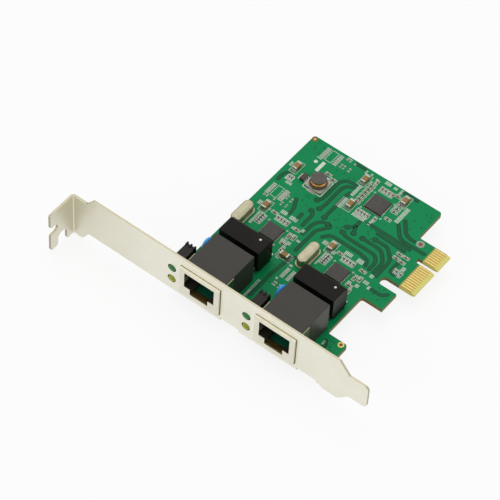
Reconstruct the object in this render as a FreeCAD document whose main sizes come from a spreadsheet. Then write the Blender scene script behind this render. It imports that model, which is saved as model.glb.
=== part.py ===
import FreeCAD, Part
import math
import os

import Sketcher

# A dual-port network interface card for a short slot, with a full-height steel bracket.
#
# Frame: X runs along the bracket, away from the screw tab. X = 0 is the face of the tab that
# lies on the case rail. Y runs into the computer, with Y = 0 on the bracket's outer face.
# Z = 0 is the component side of the circuit board, and the components stand up from it.

V = FreeCAD.Vector
doc = FreeCAD.newDocument("NetworkCard")
sheet = doc.addObject("Spreadsheet::Sheet", "Sizes")

SIZES = [
    # The bracket, cut and folded from one sheet.
    ("sheet_thick", 0.86, "thickness of the bracket's sheet"),
    ("bend_inner", 0.5, "inner radius of every fold of the bracket"),
    ("bracket_length", 119.16, "from the tab's seat to the tip of the tongue"),
    ("bracket_wide", 18.42, "width of the bracket between its shoulders"),
    ("head_drop", 4.05, "how far the head hangs below the lower edge"),
    ("head_step", 3.57, "how far the head stops short of the upper edge"),
    ("head_low_jog", 3.75, "start of the lower jog"),
    ("head_high_jog", 5.65, "start of the upper jog"),
    ("jog_run", 2.75, "length of each jog along the bracket"),
    ("skirt_start", 100.9, "start of the skirt below the lower edge"),
    ("skirt_run", 1.4, "length of the slope into the skirt"),
    ("skirt_drop", 0.85, "depth of the skirt"),
    ("skirt_end", 108.2, "end of the skirt"),
    ("shoulder_start", 107.75, "start of the upper shoulder"),
    ("shoulder_run", 4.05, "length of each shoulder along the bracket"),
    ("tongue_lift", 3.5, "tongue's lower edge above the lower edge"),
    ("tongue_wide", 10.19, "width of the tongue"),
    ("tongue_round", 1.6, "corner radius of the tongue"),
    ("edge_round", 0.8, "corner radius of the jogs and shoulders"),
    ("tab_reach", 11.43, "reach of the screw tab from the outer face"),
    ("screw_slot_wide", 4.42, "width of the screw slot in the tab"),
    ("screw_slot_start", 3.44, "screw slot's near edge from the outer face"),
    ("screw_slot_deep", 6.15, "depth of the screw slot"),
    ("finger_short", 1.05, "how far the tab's outer finger stops short"),
    ("notch_wide", 3.4, "width of the notch in the tab's outer edge"),
    ("notch_deep", 3.55, "depth of that notch"),
    ("notch_low", 8.95, "notch's lower edge above the head's lower edge"),
    ("tab_round", 0.9, "corner radius of the tab"),
    ("ear_first", 65.1, "centre of the first ear along the bracket"),
    ("ear_second", 96.0, "centre of the second ear"),
    ("ear_wide", 7.5, "width of an ear"),
    ("ear_reach", 10.4, "reach of an ear from the outer face"),
    ("ear_round", 1.5, "corner radius of an ear"),
    ("window_gap", 0.2, "gap round a jack in its window"),
    ("led_hole_gap", 0.15, "gap round a light in its hole"),
    # The circuit board.
    ("board_thick", 1.57, "thickness of the laminate"),
    ("board_left", 39.0, "board's near edge along the bracket"),
    ("board_wide", 53.0, "board's width to its connector side"),
    ("board_deep", 80.2, "board's far edge from the outer face"),
    ("board_round", 1.0, "radius of the board's far corners"),
    ("foot_reach", 8.0, "reach of the foot and lug past the connector side"),
    ("foot_end", 16.5, "far side of the foot"),
    ("lug_start", 35.05, "near side of the lug"),
    ("lug_wide", 8.0, "width of the lug"),
    ("relief_base", 0.4, "bottom of the relief slot past the connector side"),
    ("relief_round", 1.5, "corner radius of the relief slot"),
    ("tongue_out", 12.7, "reach of the contact tongue past the connector side"),
    ("key_centre", 58.72, "centre of the key slot"),
    ("key_wide", 1.9, "width of the key slot"),
    ("key_deep", 7.7, "depth of the key slot"),
    ("key_to_long_side", 12.15, "key's centre to the long tongue's side"),
    ("key_to_short_side", 8.15, "key's centre to the short tongue's side"),
    ("bevel_long", 1.3, "length of the lead-in bevel"),
    ("bevel_deep", 0.45, "depth of the lead-in bevel"),
    ("finger_pitch", 1.0, "pitch of the edge contacts"),
    ("finger_wide", 0.7, "width of an edge contact"),
    ("finger_long", 4.4, "length of an edge contact"),
    ("finger_thick", 0.05, "thickness of an edge contact"),
    ("finger_from_key", 1.5, "first contact's centre from the key's centre"),
    # The two jacks.
    ("port_first", 53.0, "centre of the first jack"),
    ("port_pitch", 30.2, "distance between the jacks"),
    ("shield_wide", 16.0, "width of the jack's shield"),
    ("shield_high", 12.6, "height of the shield"),
    ("shield_thick", 0.25, "thickness of the shield's sheet"),
    ("shield_proud", 0.9, "how far the shield stands out of the bracket"),
    ("shield_top_deep", 3.9, "depth of the shield's top wall"),
    ("shield_side_deep", 7.8, "depth of the shield's side walls"),
    ("shield_side_step", 0.5, "step down from the top wall to the side walls"),
    ("leg_wide", 1.0, "width of a shield leg"),
    ("leg_back", 0.6, "leg's far edge from the end of the side wall"),
    ("spring_low", 6.2, "lower edge of the ground springs"),
    ("spring_high", 2.4, "height of the ground springs"),
    ("spring_deep", 4.2, "depth of the ground springs"),
    ("spring_bulge", 0.25, "how far a ground spring bulges inwards"),
    ("jack_gap", 0.05, "gap between the housing and its shield"),
    ("housing_deep", 18.45, "depth of the jack's housing"),
    ("cavity_wide", 12.7, "width of the plug cavity"),
    ("opening_wide", 12.0, "width of the opening in the shield"),
    ("opening_low", 4.2, "bottom of the wide part of the opening"),
    ("opening_top", 11.1, "top of the opening"),
    ("keyway_wide", 7.2, "width of the latch keyway"),
    ("keyway_low", 1.7, "bottom of the latch keyway"),
    ("cavity_deep", 12.0, "depth of the plug cavity"),
    ("wall_behind", 1.85, "wall between the cavity and the rear chamber"),
    ("chamber_deep", 3.8, "depth of the rear chamber"),
    ("comb_deep", 0.65, "depth of the comb slots in the roof"),
    ("comb_wide", 0.62, "width of a comb slot"),
    ("comb_lip", 1.5, "solid lip in front of the comb slots"),
    ("contact_pitch", 1.016, "pitch of the contact springs"),
    ("contact_wide", 0.4, "width of a contact spring"),
    ("contact_thick", 0.35, "thickness of a contact spring"),
    ("contact_nose", 2.25, "contact's front bend behind the housing's front"),
    ("contact_end", 10.85, "contact's free end behind the housing's front"),
    ("contact_dip", 8.9, "height of the contact's free end"),
    ("tail_step", 2.54, "distance between the two rows of tails"),
    ("tail_reach", 1.3, "how far leads stand out under the board"),
    ("peg_radius", 1.5, "radius of a locating peg"),
    ("peg_spread", 5.7, "peg's centre from the middle of the jack"),
    ("peg_place", 9.0, "peg's centre from the outer face"),
    ("lead_gap", 0.2, "gap round a lead or peg in its hole"),
    # The lights beside each jack.
    ("led_offset", 11.7, "lights' centre before the middle of the jack"),
    ("led_low", 2.8, "height of the lower light"),
    ("led_high", 8.2, "height of the upper light"),
    ("led_radius", 1.5, "radius of a light"),
    ("led_proud", 0.6, "how far a light stands out of the bracket"),
    ("led_long", 6.6, "length of a light"),
    ("led_lead", 0.45, "thickness of a light's lead"),
    ("led_lead_pitch", 2.0, "distance between a light's leads"),
    ("led_bend_low", 1.3, "lower light's lead bend behind the light"),
    ("led_bend_high", 2.6, "upper light's lead bend behind the light"),
    ("holder_gap", 0.2, "gap between the holder and the bracket"),
    ("holder_wide", 3.6, "width of the light holder"),
    ("holder_deep", 8.8, "depth of the light holder"),
    ("holder_high", 10.3, "height of the light holder"),
    ("holder_block", 5.0, "depth of the block that grips the lights"),
    ("holder_wall", 0.4, "thickness of the holder's side walls"),
    ("holder_roof", 0.5, "thickness of the holder's roof"),
    # The magnetics behind each jack.
    ("case_offset", 1.0, "magnetics' middle before the middle of the jack"),
    ("case_wide", 16.2, "width of the magnetics case"),
    ("case_near", 20.95, "near side of the case"),
    ("case_deep", 7.65, "depth of the case"),
    ("case_lift", 1.0, "gap under the case"),
    ("case_top", 10.2, "height of the case's top"),
    ("case_bevel", 1.1, "bevel along the case's far top edge"),
    ("case_rail", 1.0, "width of the rails that the case stands on"),
    ("pin_pitch", 1.27, "pitch of the case's pins"),
    ("pin_wide", 0.45, "width of a pin"),
    ("pin_thick", 0.25, "thickness of a pin"),
    ("pin_exit", 1.9, "height at which a pin leaves the case"),
    ("pin_reach", 1.7, "reach of a pin from the case"),
    ("pin_foot", 0.9, "length of a pin's foot"),
    ("pins_a_side", 12, "pins along each long side"),
    # Crystals, capacitors and chips.
    ("crystal_first_x", 41.6, "centre of the first crystal along the bracket"),
    ("crystal_second_x", 68.9, "centre of the second crystal"),
    ("crystal_y", 36.6, "centre of the crystals from the outer face"),
    ("crystal_long", 10.2, "length of a crystal's can"),
    ("crystal_wide", 3.8, "width of a crystal's can"),
    ("crystal_flange", 0.42, "flange round the can"),
    ("flange_thick", 0.45, "thickness of the flange"),
    ("crystal_high", 3.55, "height of a crystal"),
    ("crystal_round", 0.45, "bevel round the can's top"),
    ("crystal_leads", 4.88, "distance between a crystal's leads"),
    ("wire_radius", 0.23, "radius of a round lead"),
    ("disc_gap", 1.35, "gap between the disc capacitor and the magnetics"),
    ("disc_y", 17.8, "centre of the disc from the outer face"),
    ("disc_radius", 2.9, "radius of the disc"),
    ("disc_thick", 1.7, "thickness of the disc"),
    ("disc_lift", 0.9, "gap under the disc"),
    ("disc_leads", 2.5, "distance between the disc's leads"),
    ("chip_first_x", 53.2, "centre of the first controller chip"),
    ("chip_second_x", 80.2, "centre of the second controller chip"),
    ("chip_y", 37.5, "centre of the controller chips"),
    ("chip_wide", 6.1, "side of a controller chip"),
    ("chip_high", 0.9, "height of the chips"),
    ("switch_x", 73.55, "centre of the switch chip along the bracket"),
    ("switch_y", 69.05, "centre of the switch chip from the outer face"),
    ("switch_wide", 6.6, "side of the switch chip"),
    ("chip_edge", 0.1, "chamfer round a chip's top"),
    # The power parts.
    ("coil_x", 52.9, "centre of the inductor along the bracket"),
    ("coil_y", 63.6, "centre of the inductor from the outer face"),
    ("coil_radius", 3.25, "radius of the inductor's flanges"),
    ("coil_base", 6.7, "side of the inductor's base"),
    ("coil_base_thick", 0.6, "thickness of the inductor's base"),
    ("coil_flange", 0.6, "thickness of each flange"),
    ("coil_gap", 1.6, "height of the winding between the flanges"),
    ("coil_post", 1.5, "radius of the core's post"),
    ("coil_wire_in", 0.45, "how far the winding lies inside the flanges"),
    ("terminal_long", 8.2, "length over the inductor's terminals"),
    ("terminal_wide", 2.6, "width of a terminal"),
    ("terminal_thick", 0.2, "thickness of a terminal"),
    ("regulator_x", 47.5, "centre of the regulator along the bracket"),
    ("regulator_y", 62.8, "centre of the regulator from the outer face"),
    ("regulator_wide", 1.6, "width of the regulator"),
    ("regulator_long", 2.9, "length of the regulator"),
    ("regulator_high", 1.1, "height of the regulator"),
    ("regulator_pitch", 0.95, "pitch of the regulator's pins"),
    ("regulator_reach", 0.6, "reach of the regulator's pins"),
    ("large_long", 3.2, "length of a large chip capacitor"),
    ("large_wide", 1.7, "width of a large chip capacitor"),
    ("large_high", 1.3, "height of a large chip capacitor"),
    ("large_end", 0.5, "length of its metal ends"),
    ("small_long", 1.1, "length of a small chip part"),
    ("small_wide", 0.55, "width of a small chip part"),
    ("capacitor_high", 0.55, "height of a small capacitor"),
    ("resistor_high", 0.38, "height of a small resistor"),
    ("small_end", 0.26, "length of the metal ends of a small part"),
    ("layout_grid", 0.1, "grid on which the small parts are laid out"),
    ("end_lap", 0.03, "how far metal ends stand out past the body"),
    # The screws that hold the board to the ears.
    ("screw_y", 6.3, "screws' distance from the outer face"),
    ("screw_radius", 1.45, "radius of a screw's shank"),
    ("screw_gap", 0.2, "gap round the shank in the board"),
    ("thread_gap", 0.03, "gap round the shank in the ear"),
    ("screw_head_radius", 2.75, "radius of a screw's head"),
    ("screw_head_high", 1.7, "height of a screw's head"),
    ("screw_end", 0.7, "how far the shank stands out under the ear"),
    ("cross_wide", 0.55, "width of the cross recess's arms"),
    ("cross_long", 2.6, "length of the cross recess"),
    ("cross_deep", 0.9, "depth of the cross recess"),
]
for row, (alias, value, meaning) in enumerate(SIZES, start=1):
    sheet.set("A%d" % row, meaning)
    sheet.set("B%d" % row, str(value))
    sheet.setAlias("B%d" % row, alias)
doc.recompute()

PORTS = (0, 1)
nodes = []


def size(alias):
    return float(sheet.get(alias))


def new_body(label, x=None, y=None, z=None):
    """A body whose Label names its file, placed by expressions."""
    body = doc.addObject("PartDesign::Body", label)
    body.Label = label
    body.AllowCompound = True
    for axis, value in (("x", x), ("y", y), ("z", z)):
        if value is not None:
            body.setExpression("Placement.Base." + axis, value)
    nodes.append(body)
    return body


def new_sketch(body, role, lift=None):
    """A sketch on one of the body's own origin planes, lifted along the plane's normal."""
    sketch = body.newObject("Sketcher::SketchObject", body.Name + "_sketch")
    plane = next(f for f in body.Origin.OriginFeatures if f.Role == role)
    sketch.AttachmentSupport = [(plane, "")]
    sketch.MapMode = "FlatFace"
    if lift is not None:
        sketch.setExpression("AttachmentOffset.Base.z", lift)
    return sketch


def bind(sketch, kind, where, expression):
    """A driving dimension bound to a size."""
    value = float(sketch.evalExpression(expression))
    index = sketch.addConstraint(Sketcher.Constraint(kind, *where, value))
    sketch.setExpression("Constraints[%d]" % index, expression)


def outline(sketch, corners):
    """A closed outline through (u, v) expressions. A third entry rounds that corner."""
    first = sketch.GeometryCount
    count = len(corners)
    spots = []
    for corner in corners:
        u = float(sketch.evalExpression(corner[0]))
        v = float(sketch.evalExpression(corner[1]))
        spots.append(V(u, v, 0))
    for i in range(count):
        sketch.addGeometry(Part.LineSegment(spots[i], spots[(i + 1) % count]), False)
    for i in range(count):
        ends = (first + i, 2, first + (i + 1) % count, 1)
        sketch.addConstraint(Sketcher.Constraint("Coincident", *ends))
    for i, corner in enumerate(corners):
        bind(sketch, "DistanceX", (-1, 1, first + i, 1), corner[0])
        bind(sketch, "DistanceY", (-1, 1, first + i, 1), corner[1])
    for i, corner in enumerate(corners):
        if len(corner) == 3:
            before = sketch.GeometryCount
            radius = float(sketch.evalExpression(corner[2]))
            sketch.fillet(first + i, 1, radius, True, True, False)
            for index in range(before, sketch.GeometryCount):
                if isinstance(sketch.Geometry[index], Part.ArcOfCircle):
                    bind(sketch, "Radius", (index,), corner[2])


def rectangle(sketch, u0, v0, u1, v1):
    outline(sketch, [(u0, v0), (u1, v0), (u1, v1), (u0, v1)])


def circle(sketch, u, v, radius):
    centre = V(float(sketch.evalExpression(u)), float(sketch.evalExpression(v)), 0)
    ring = Part.Circle(centre, V(0, 0, 1), float(sketch.evalExpression(radius)))
    index = sketch.addGeometry(ring, False)
    bind(sketch, "DistanceX", (-1, 1, index, 3), u)
    bind(sketch, "DistanceY", (-1, 1, index, 3), v)
    bind(sketch, "Radius", (index,), radius)


def sided(sketch, u, v, reach, sides=6):
    """A regular outline of few sides, whose flats lie at the given reach from the centre.
    Thin wires and the small holes round them are drawn this way."""
    corners = []
    for i in range(sides):
        angle = math.pi * (2 * i + 1) / sides
        across = "(%s) / %.9f" % (reach, math.cos(math.pi / sides))
        corners.append((
            "%s + %.9f * %s" % (u, math.cos(angle), across),
            "%s + %.9f * %s" % (v, math.sin(angle), across),
        ))
    outline(sketch, corners)


def pad(body, sketch, length, reverse=False, middle=False):
    feature = body.newObject("PartDesign::Pad", body.Name + "_pad")
    feature.Profile = sketch
    feature.setExpression("Length", length)
    feature.Reversed = reverse
    feature.Midplane = middle
    doc.recompute()
    return feature


def pocket(body, sketch, length=None, reverse=False, middle=False):
    """Cuts the sketch out of the body and makes sure that something was cut."""
    doc.recompute()
    before = body.Shape.Volume
    feature = body.newObject("PartDesign::Pocket", body.Name + "_pocket")
    feature.Profile = sketch
    if length is None:
        feature.Type = "ThroughAll"
    else:
        feature.setExpression("Length", length)
    feature.Reversed = reverse
    feature.Midplane = middle
    doc.recompute()
    if body.Shape.Volume > before - 1e-6:
        raise ValueError("a pocket of %s cuts nothing" % body.Label)
    return feature


def turn(body, sketch, axis):
    """A full revolution about the sketch's own H_Axis or V_Axis."""
    feature = body.newObject("PartDesign::Revolution", body.Name + "_turn")
    feature.Profile = sketch
    feature.ReferenceAxis = (sketch, [axis])
    feature.Angle = 360.0
    doc.recompute()
    return feature


def repeat(body, feature, role, spacing, count):
    """Copies a feature along an axis of the body's origin."""
    axis = next(f for f in body.Origin.OriginFeatures if f.Role == role)
    pattern = body.newObject("PartDesign::LinearPattern", body.Name + "_pattern")
    pattern.Originals = [feature]
    pattern.Direction = (axis, [""])
    pattern.setExpression("Occurrences", count)
    pattern.setExpression("Length", "(%s) * (%s - 1)" % (spacing, count))
    body.Tip = pattern
    doc.recompute()
    return pattern


def soften(body, kind, amount, choose):
    """A fillet or chamfer on the edges of the body that pass the test."""
    doc.recompute()
    base = body.Tip
    names = ["Edge%d" % i for i, e in enumerate(base.Shape.Edges, start=1) if choose(e)]
    if not names:
        raise ValueError("no edge to soften on %s" % body.Label)
    feature = body.newObject("PartDesign::" + kind, body.Name + "_" + kind)
    feature.Base = (base, names)
    feature.setExpression("Radius" if kind == "Fillet" else "Size", amount)
    doc.recompute()
    return feature


def near(value, target):
    return abs(value - target) < 1e-4


def port(n):
    """Middle of jack n along the bracket."""
    return "(Sizes.port_first + %d * Sizes.port_pitch)" % n


# Heights and places that several pieces share.
LOW = "(0 - Sizes.board_thick - Sizes.sheet_thick)"
TOP = "(Sizes.bracket_wide - Sizes.board_thick - Sizes.sheet_thick)"
HEAD_LOW = "(%s - Sizes.head_drop)" % LOW
HEAD_TOP = "(%s - Sizes.head_step)" % TOP
BOARD_FRONT = "(Sizes.sheet_thick + Sizes.bend_inner)"
BOARD_RIGHT = "(Sizes.board_left + Sizes.board_wide)"
TIP = "(Sizes.board_left + Sizes.board_wide + Sizes.tongue_out)"
JACK_FRONT = "(Sizes.shield_thick - Sizes.shield_proud)"
CHAMBER = "(%s + Sizes.cavity_deep + Sizes.wall_behind)" % JACK_FRONT
HOLDER_FRONT = "(Sizes.sheet_thick + Sizes.holder_gap)"
LED_REAR = "(Sizes.led_long - Sizes.led_proud)"
LEAD_END = "(0 - Sizes.board_thick - Sizes.tail_reach)"
LEAD_LOW = "(%s + Sizes.led_bend_low)" % LED_REAR
LEAD_HIGH = "(%s + Sizes.led_bend_high)" % LED_REAR
TAILS = "(%s + Sizes.contact_thick)" % CHAMBER
CASE_SIDE = "Sizes.case_offset + Sizes.case_wide / 2"
DISC_OFFSET = "(%s + Sizes.disc_gap + Sizes.disc_thick / 2)" % CASE_SIDE


# ---------------------------------------------------------------------------------------
# The bracket. The head's L profile folds the screw tab outwards, and the flat plate runs
# on from it to the tongue.
bracket = new_body("bracket")

fold = new_sketch(bracket, "XY_Plane", HEAD_LOW)
outline(fold, [
    ("Sizes.bend_inner * 3", "0"),
    ("0", "0", "Sizes.bend_inner"),
    ("0", "0 - Sizes.tab_reach"),
    ("0 - Sizes.sheet_thick", "0 - Sizes.tab_reach"),
    ("0 - Sizes.sheet_thick", "Sizes.sheet_thick", "Sizes.bend_inner + Sizes.sheet_thick"),
    ("Sizes.bend_inner * 3", "Sizes.sheet_thick"),
])
pad(bracket, fold, "%s - %s" % (HEAD_TOP, HEAD_LOW))

plate = new_sketch(bracket, "XZ_Plane")
SKIRT_LOW = "(%s - Sizes.skirt_drop)" % LOW
TONGUE_LOW = "(%s + Sizes.tongue_lift)" % LOW
TONGUE_TOP = "(%s + Sizes.tongue_lift + Sizes.tongue_wide)" % LOW
outline(plate, [
    ("Sizes.bend_inner", HEAD_LOW),
    ("Sizes.head_low_jog", HEAD_LOW, "Sizes.edge_round"),
    ("Sizes.head_low_jog + Sizes.jog_run", LOW, "Sizes.edge_round"),
    ("Sizes.skirt_start", LOW),
    ("Sizes.skirt_start + Sizes.skirt_run", SKIRT_LOW),
    ("Sizes.skirt_end", SKIRT_LOW, "Sizes.edge_round"),
    ("Sizes.skirt_end + Sizes.shoulder_run", TONGUE_LOW, "Sizes.edge_round"),
    ("Sizes.bracket_length", TONGUE_LOW, "Sizes.tongue_round"),
    ("Sizes.bracket_length", TONGUE_TOP, "Sizes.tongue_round"),
    ("Sizes.shoulder_start + Sizes.shoulder_run", TONGUE_TOP, "Sizes.edge_round"),
    ("Sizes.shoulder_start", TOP, "Sizes.edge_round"),
    ("Sizes.head_high_jog + Sizes.jog_run", TOP, "Sizes.edge_round"),
    ("Sizes.head_high_jog", HEAD_TOP, "Sizes.edge_round"),
    ("Sizes.bend_inner", HEAD_TOP),
])
pad(bracket, plate, "Sizes.sheet_thick", reverse=True)

# Two ears fold from the lower edge and lie flat against the underside of the board. The
# plate is cleared over each ear, and the ear's own folded profile takes its place.
EAR_JOIN = "(%s + Sizes.sheet_thick + Sizes.bend_inner * 2)" % LOW
clear = new_sketch(bracket, "XZ_Plane")
for ear in ("Sizes.ear_first", "Sizes.ear_second"):
    rectangle(
        clear,
        ear + " - Sizes.ear_wide / 2", LOW + " - Sizes.bend_inner",
        ear + " + Sizes.ear_wide / 2", EAR_JOIN,
    )
pocket(bracket, clear)
for ear in ("Sizes.ear_first", "Sizes.ear_second"):
    profile = new_sketch(bracket, "YZ_Plane", ear + " - Sizes.ear_wide / 2")
    outline(profile, [
        ("0", EAR_JOIN),
        ("0", LOW, "Sizes.bend_inner + Sizes.sheet_thick"),
        ("Sizes.ear_reach", LOW),
        ("Sizes.ear_reach", "0 - Sizes.board_thick"),
        ("Sizes.sheet_thick", "0 - Sizes.board_thick", "Sizes.bend_inner"),
        ("Sizes.sheet_thick", EAR_JOIN),
    ])
    pad(bracket, profile, "Sizes.ear_wide")


def ear_corner(edge):
    box = edge.BoundBox
    upright = near(box.XLength, 0) and near(box.YLength, 0)
    return upright and near(box.YMin, size("ear_reach"))


soften(bracket, "Fillet", "Sizes.ear_round", ear_corner)

threads = new_sketch(bracket, "XY_Plane")
for ear in ("Sizes.ear_first", "Sizes.ear_second"):
    sided(threads, ear, "Sizes.screw_y", "Sizes.screw_radius + Sizes.thread_gap", 16)
pocket(bracket, threads)

# A window for each jack, and a pair of round holes for its lights.
windows = new_sketch(bracket, "XZ_Plane")
for n in PORTS:
    rectangle(
        windows,
        port(n) + " - Sizes.shield_wide / 2 - Sizes.window_gap", "0 - Sizes.window_gap",
        port(n) + " + Sizes.shield_wide / 2 + Sizes.window_gap",
        "Sizes.shield_high + Sizes.window_gap",
    )
pocket(bracket, windows)
light_holes = new_sketch(bracket, "XZ_Plane")
for height in ("Sizes.led_low", "Sizes.led_high"):
    sided(light_holes, port(0) + " - Sizes.led_offset", height,
          "Sizes.led_radius + Sizes.led_hole_gap", 20)
repeat(bracket, pocket(bracket, light_holes), "X_Axis", "Sizes.port_pitch", "2")

# The tab: a screw slot open to the lower edge, with a shorter finger outside it, and a
# round-ended notch in the outer edge.
SLOT_NEAR = "(0 - Sizes.screw_slot_start)"
SLOT_FAR = "(0 - Sizes.screw_slot_start - Sizes.screw_slot_wide)"
SLOT_CENTRE = "(%s + Sizes.screw_slot_deep - Sizes.screw_slot_wide / 2)" % HEAD_LOW
NOTCH_CENTRE = "(%s + Sizes.notch_low + Sizes.notch_wide / 2)" % HEAD_LOW
NOTCH_END = "(0 - Sizes.tab_reach + Sizes.notch_deep - Sizes.notch_wide / 2)"
OUTSIDE = "(0 - Sizes.tab_reach - Sizes.sheet_thick)"
tab_cuts = new_sketch(bracket, "YZ_Plane", "Sizes.bend_inner")
outline(tab_cuts, [
    (OUTSIDE, HEAD_LOW + " - Sizes.sheet_thick"),
    (SLOT_NEAR, HEAD_LOW + " - Sizes.sheet_thick"),
    (SLOT_NEAR, SLOT_CENTRE),
    (SLOT_FAR, SLOT_CENTRE),
    (SLOT_FAR, HEAD_LOW + " + Sizes.finger_short"),
    (OUTSIDE, HEAD_LOW + " + Sizes.finger_short"),
])
rectangle(
    tab_cuts,
    OUTSIDE, NOTCH_CENTRE + " - Sizes.notch_wide / 2",
    NOTCH_END, NOTCH_CENTRE + " + Sizes.notch_wide / 2",
)
pocket(bracket, tab_cuts)
round_ends = new_sketch(bracket, "YZ_Plane", "Sizes.bend_inner")
circle(round_ends, "(%s + %s) / 2" % (SLOT_NEAR, SLOT_FAR), SLOT_CENTRE,
       "Sizes.screw_slot_wide / 2")
circle(round_ends, NOTCH_END, NOTCH_CENTRE, "Sizes.notch_wide / 2")
pocket(bracket, round_ends)


def tab_corner(edge):
    box = edge.BoundBox
    across = near(box.YLength, 0) and near(box.ZLength, 0)
    outer = near(box.YMin, -size("tab_reach"))
    head_low = -size("board_thick") - size("sheet_thick") - size("head_drop")
    inner = near(box.YMin, -size("screw_slot_start")) and near(box.ZMin, head_low)
    finger = head_low + size("finger_short")
    slot_side = near(box.YMin, -size("screw_slot_start") - size("screw_slot_wide"))
    return across and box.XMax < 1e-4 and (outer or inner or slot_side and near(box.ZMin, finger))


soften(bracket, "Fillet", "Sizes.tab_round", tab_corner)

# ---------------------------------------------------------------------------------------
# The circuit board: a laminate with a foot, a lug and the keyed contact tongue.
board = new_body("circuit_board")
LUG_END = "(Sizes.lug_start + Sizes.lug_wide)"
LONG_SIDE = "(Sizes.key_centre - Sizes.key_to_long_side)"
SHORT_SIDE = "(Sizes.key_centre + Sizes.key_to_short_side)"
KEY_NEAR = "(Sizes.key_centre - Sizes.key_wide / 2)"
KEY_FAR = "(Sizes.key_centre + Sizes.key_wide / 2)"
KEY_END = "(%s - Sizes.key_deep)" % TIP
RELIEF = "(%s + Sizes.relief_base)" % BOARD_RIGHT
FOOT = "(%s + Sizes.foot_reach)" % BOARD_RIGHT
laminate = new_sketch(board, "XY_Plane")
outline(laminate, [
    ("Sizes.board_left", BOARD_FRONT),
    (FOOT, BOARD_FRONT),
    (FOOT, "Sizes.foot_end", "Sizes.board_round"),
    (BOARD_RIGHT, "Sizes.foot_end", "Sizes.board_round"),
    (BOARD_RIGHT, "Sizes.lug_start", "Sizes.board_round"),
    (FOOT, "Sizes.lug_start"),
    (FOOT, LUG_END),
    (RELIEF, LUG_END, "Sizes.relief_round"),
    (RELIEF, LONG_SIDE, "Sizes.relief_round"),
    (TIP, LONG_SIDE),
    (TIP, KEY_NEAR),
    (KEY_END, KEY_NEAR),
    (KEY_END, KEY_FAR),
    (TIP, KEY_FAR),
    (TIP, SHORT_SIDE),
    (BOARD_RIGHT, SHORT_SIDE, "Sizes.board_round"),
    (BOARD_RIGHT, "Sizes.board_deep", "Sizes.board_round"),
    ("Sizes.board_left", "Sizes.board_deep", "Sizes.board_round"),
])
pad(board, laminate, "Sizes.board_thick", reverse=True)

# Both faces of the tongue are bevelled at the tip, so that it enters its slot easily.
bevel = new_sketch(board, "XZ_Plane")
outline(bevel, [
    (TIP + " - Sizes.bevel_long", "0"),
    (TIP + " + Sizes.bevel_long", "Sizes.bevel_deep"),
    (TIP + " + Sizes.bevel_long", "0 - Sizes.bevel_deep * 2"),
])
outline(bevel, [
    (TIP + " - Sizes.bevel_long", "0 - Sizes.board_thick"),
    (TIP + " + Sizes.bevel_long", "0 - Sizes.board_thick - Sizes.bevel_deep"),
    (TIP + " + Sizes.bevel_long", "0 - Sizes.board_thick + Sizes.bevel_deep * 2"),
])
pocket(board, bevel)

# Plain holes for the pegs, legs, leads and screws that pass through the board.
LEAD_HOLE = "Sizes.led_lead / 2 + Sizes.lead_gap"
WIRE_HOLE = "Sizes.wire_radius + Sizes.lead_gap"
for n in PORTS:
    holes = new_sketch(board, "XY_Plane")
    for side in (-1, 1):
        sided(holes, "%s + %d * Sizes.peg_spread" % (port(n), side), "Sizes.peg_place",
              "Sizes.peg_radius + Sizes.lead_gap / 2", 12)
        leg = "%s + %d * (Sizes.shield_wide - Sizes.shield_thick) / 2" % (port(n), side)
        sided(holes, leg,
              "Sizes.shield_side_deep - Sizes.shield_proud - Sizes.leg_back - Sizes.leg_wide / 2",
              "Sizes.leg_wide / 2 + Sizes.lead_gap")
        for rear in (LEAD_LOW, LEAD_HIGH):
            lead = "%s - Sizes.led_offset + %d * Sizes.led_lead_pitch / 2" % (port(n), side)
            sided(holes, lead, rear + " + Sizes.led_lead / 2", LEAD_HOLE)
        sided(holes, port(n) + " - " + DISC_OFFSET,
              "Sizes.disc_y + %d * Sizes.disc_leads / 2" % side, WIRE_HOLE)
    pocket(board, holes)
    holes = new_sketch(board, "XY_Plane")
    for i in range(8):
        sided(holes, "%s + %.1f * Sizes.contact_pitch" % (port(n), i - 3.5),
              "%s + Sizes.contact_thick / 2 + %d * Sizes.tail_step" % (TAILS, i % 2),
              "Sizes.contact_thick / 2 + Sizes.lead_gap")
    pocket(board, holes)
holes = new_sketch(board, "XY_Plane")
for crystal_x in ("Sizes.crystal_first_x", "Sizes.crystal_second_x"):
    for side in (-1, 1):
        sided(holes, crystal_x, "Sizes.crystal_y + %d * Sizes.crystal_leads / 2" % side,
              WIRE_HOLE)
pocket(board, holes)
screw_holes = new_sketch(board, "XY_Plane")
for ear in ("Sizes.ear_first", "Sizes.ear_second"):
    sided(screw_holes, ear, "Sizes.screw_y", "Sizes.screw_radius + Sizes.screw_gap", 16)
pocket(board, screw_holes)

# Gilded edge contacts on both faces: a finger above and one below in one section, copied
# along the long part of the tongue and along the short part.
edge_contacts = new_body("edge_contacts")
FINGER_END = TIP + " - Sizes.bevel_long"
FINGER_START = TIP + " - Sizes.bevel_long - Sizes.finger_long"
rows = (
    ("Sizes.key_centre - Sizes.finger_from_key - 10 * Sizes.finger_pitch", "11"),
    ("Sizes.key_centre + Sizes.finger_from_key", "7"),
)
for start, count in rows:
    section = new_sketch(edge_contacts, "XZ_Plane", "0 - (%s - Sizes.finger_wide / 2)" % start)
    rectangle(section, FINGER_START, "0", FINGER_END, "Sizes.finger_thick")
    rectangle(section, FINGER_START, "0 - Sizes.board_thick - Sizes.finger_thick",
              FINGER_END, "0 - Sizes.board_thick")
    finger = pad(edge_contacts, section, "Sizes.finger_wide", reverse=True)
    repeat(edge_contacts, finger, "Y_Axis", "Sizes.finger_pitch", count)


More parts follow.
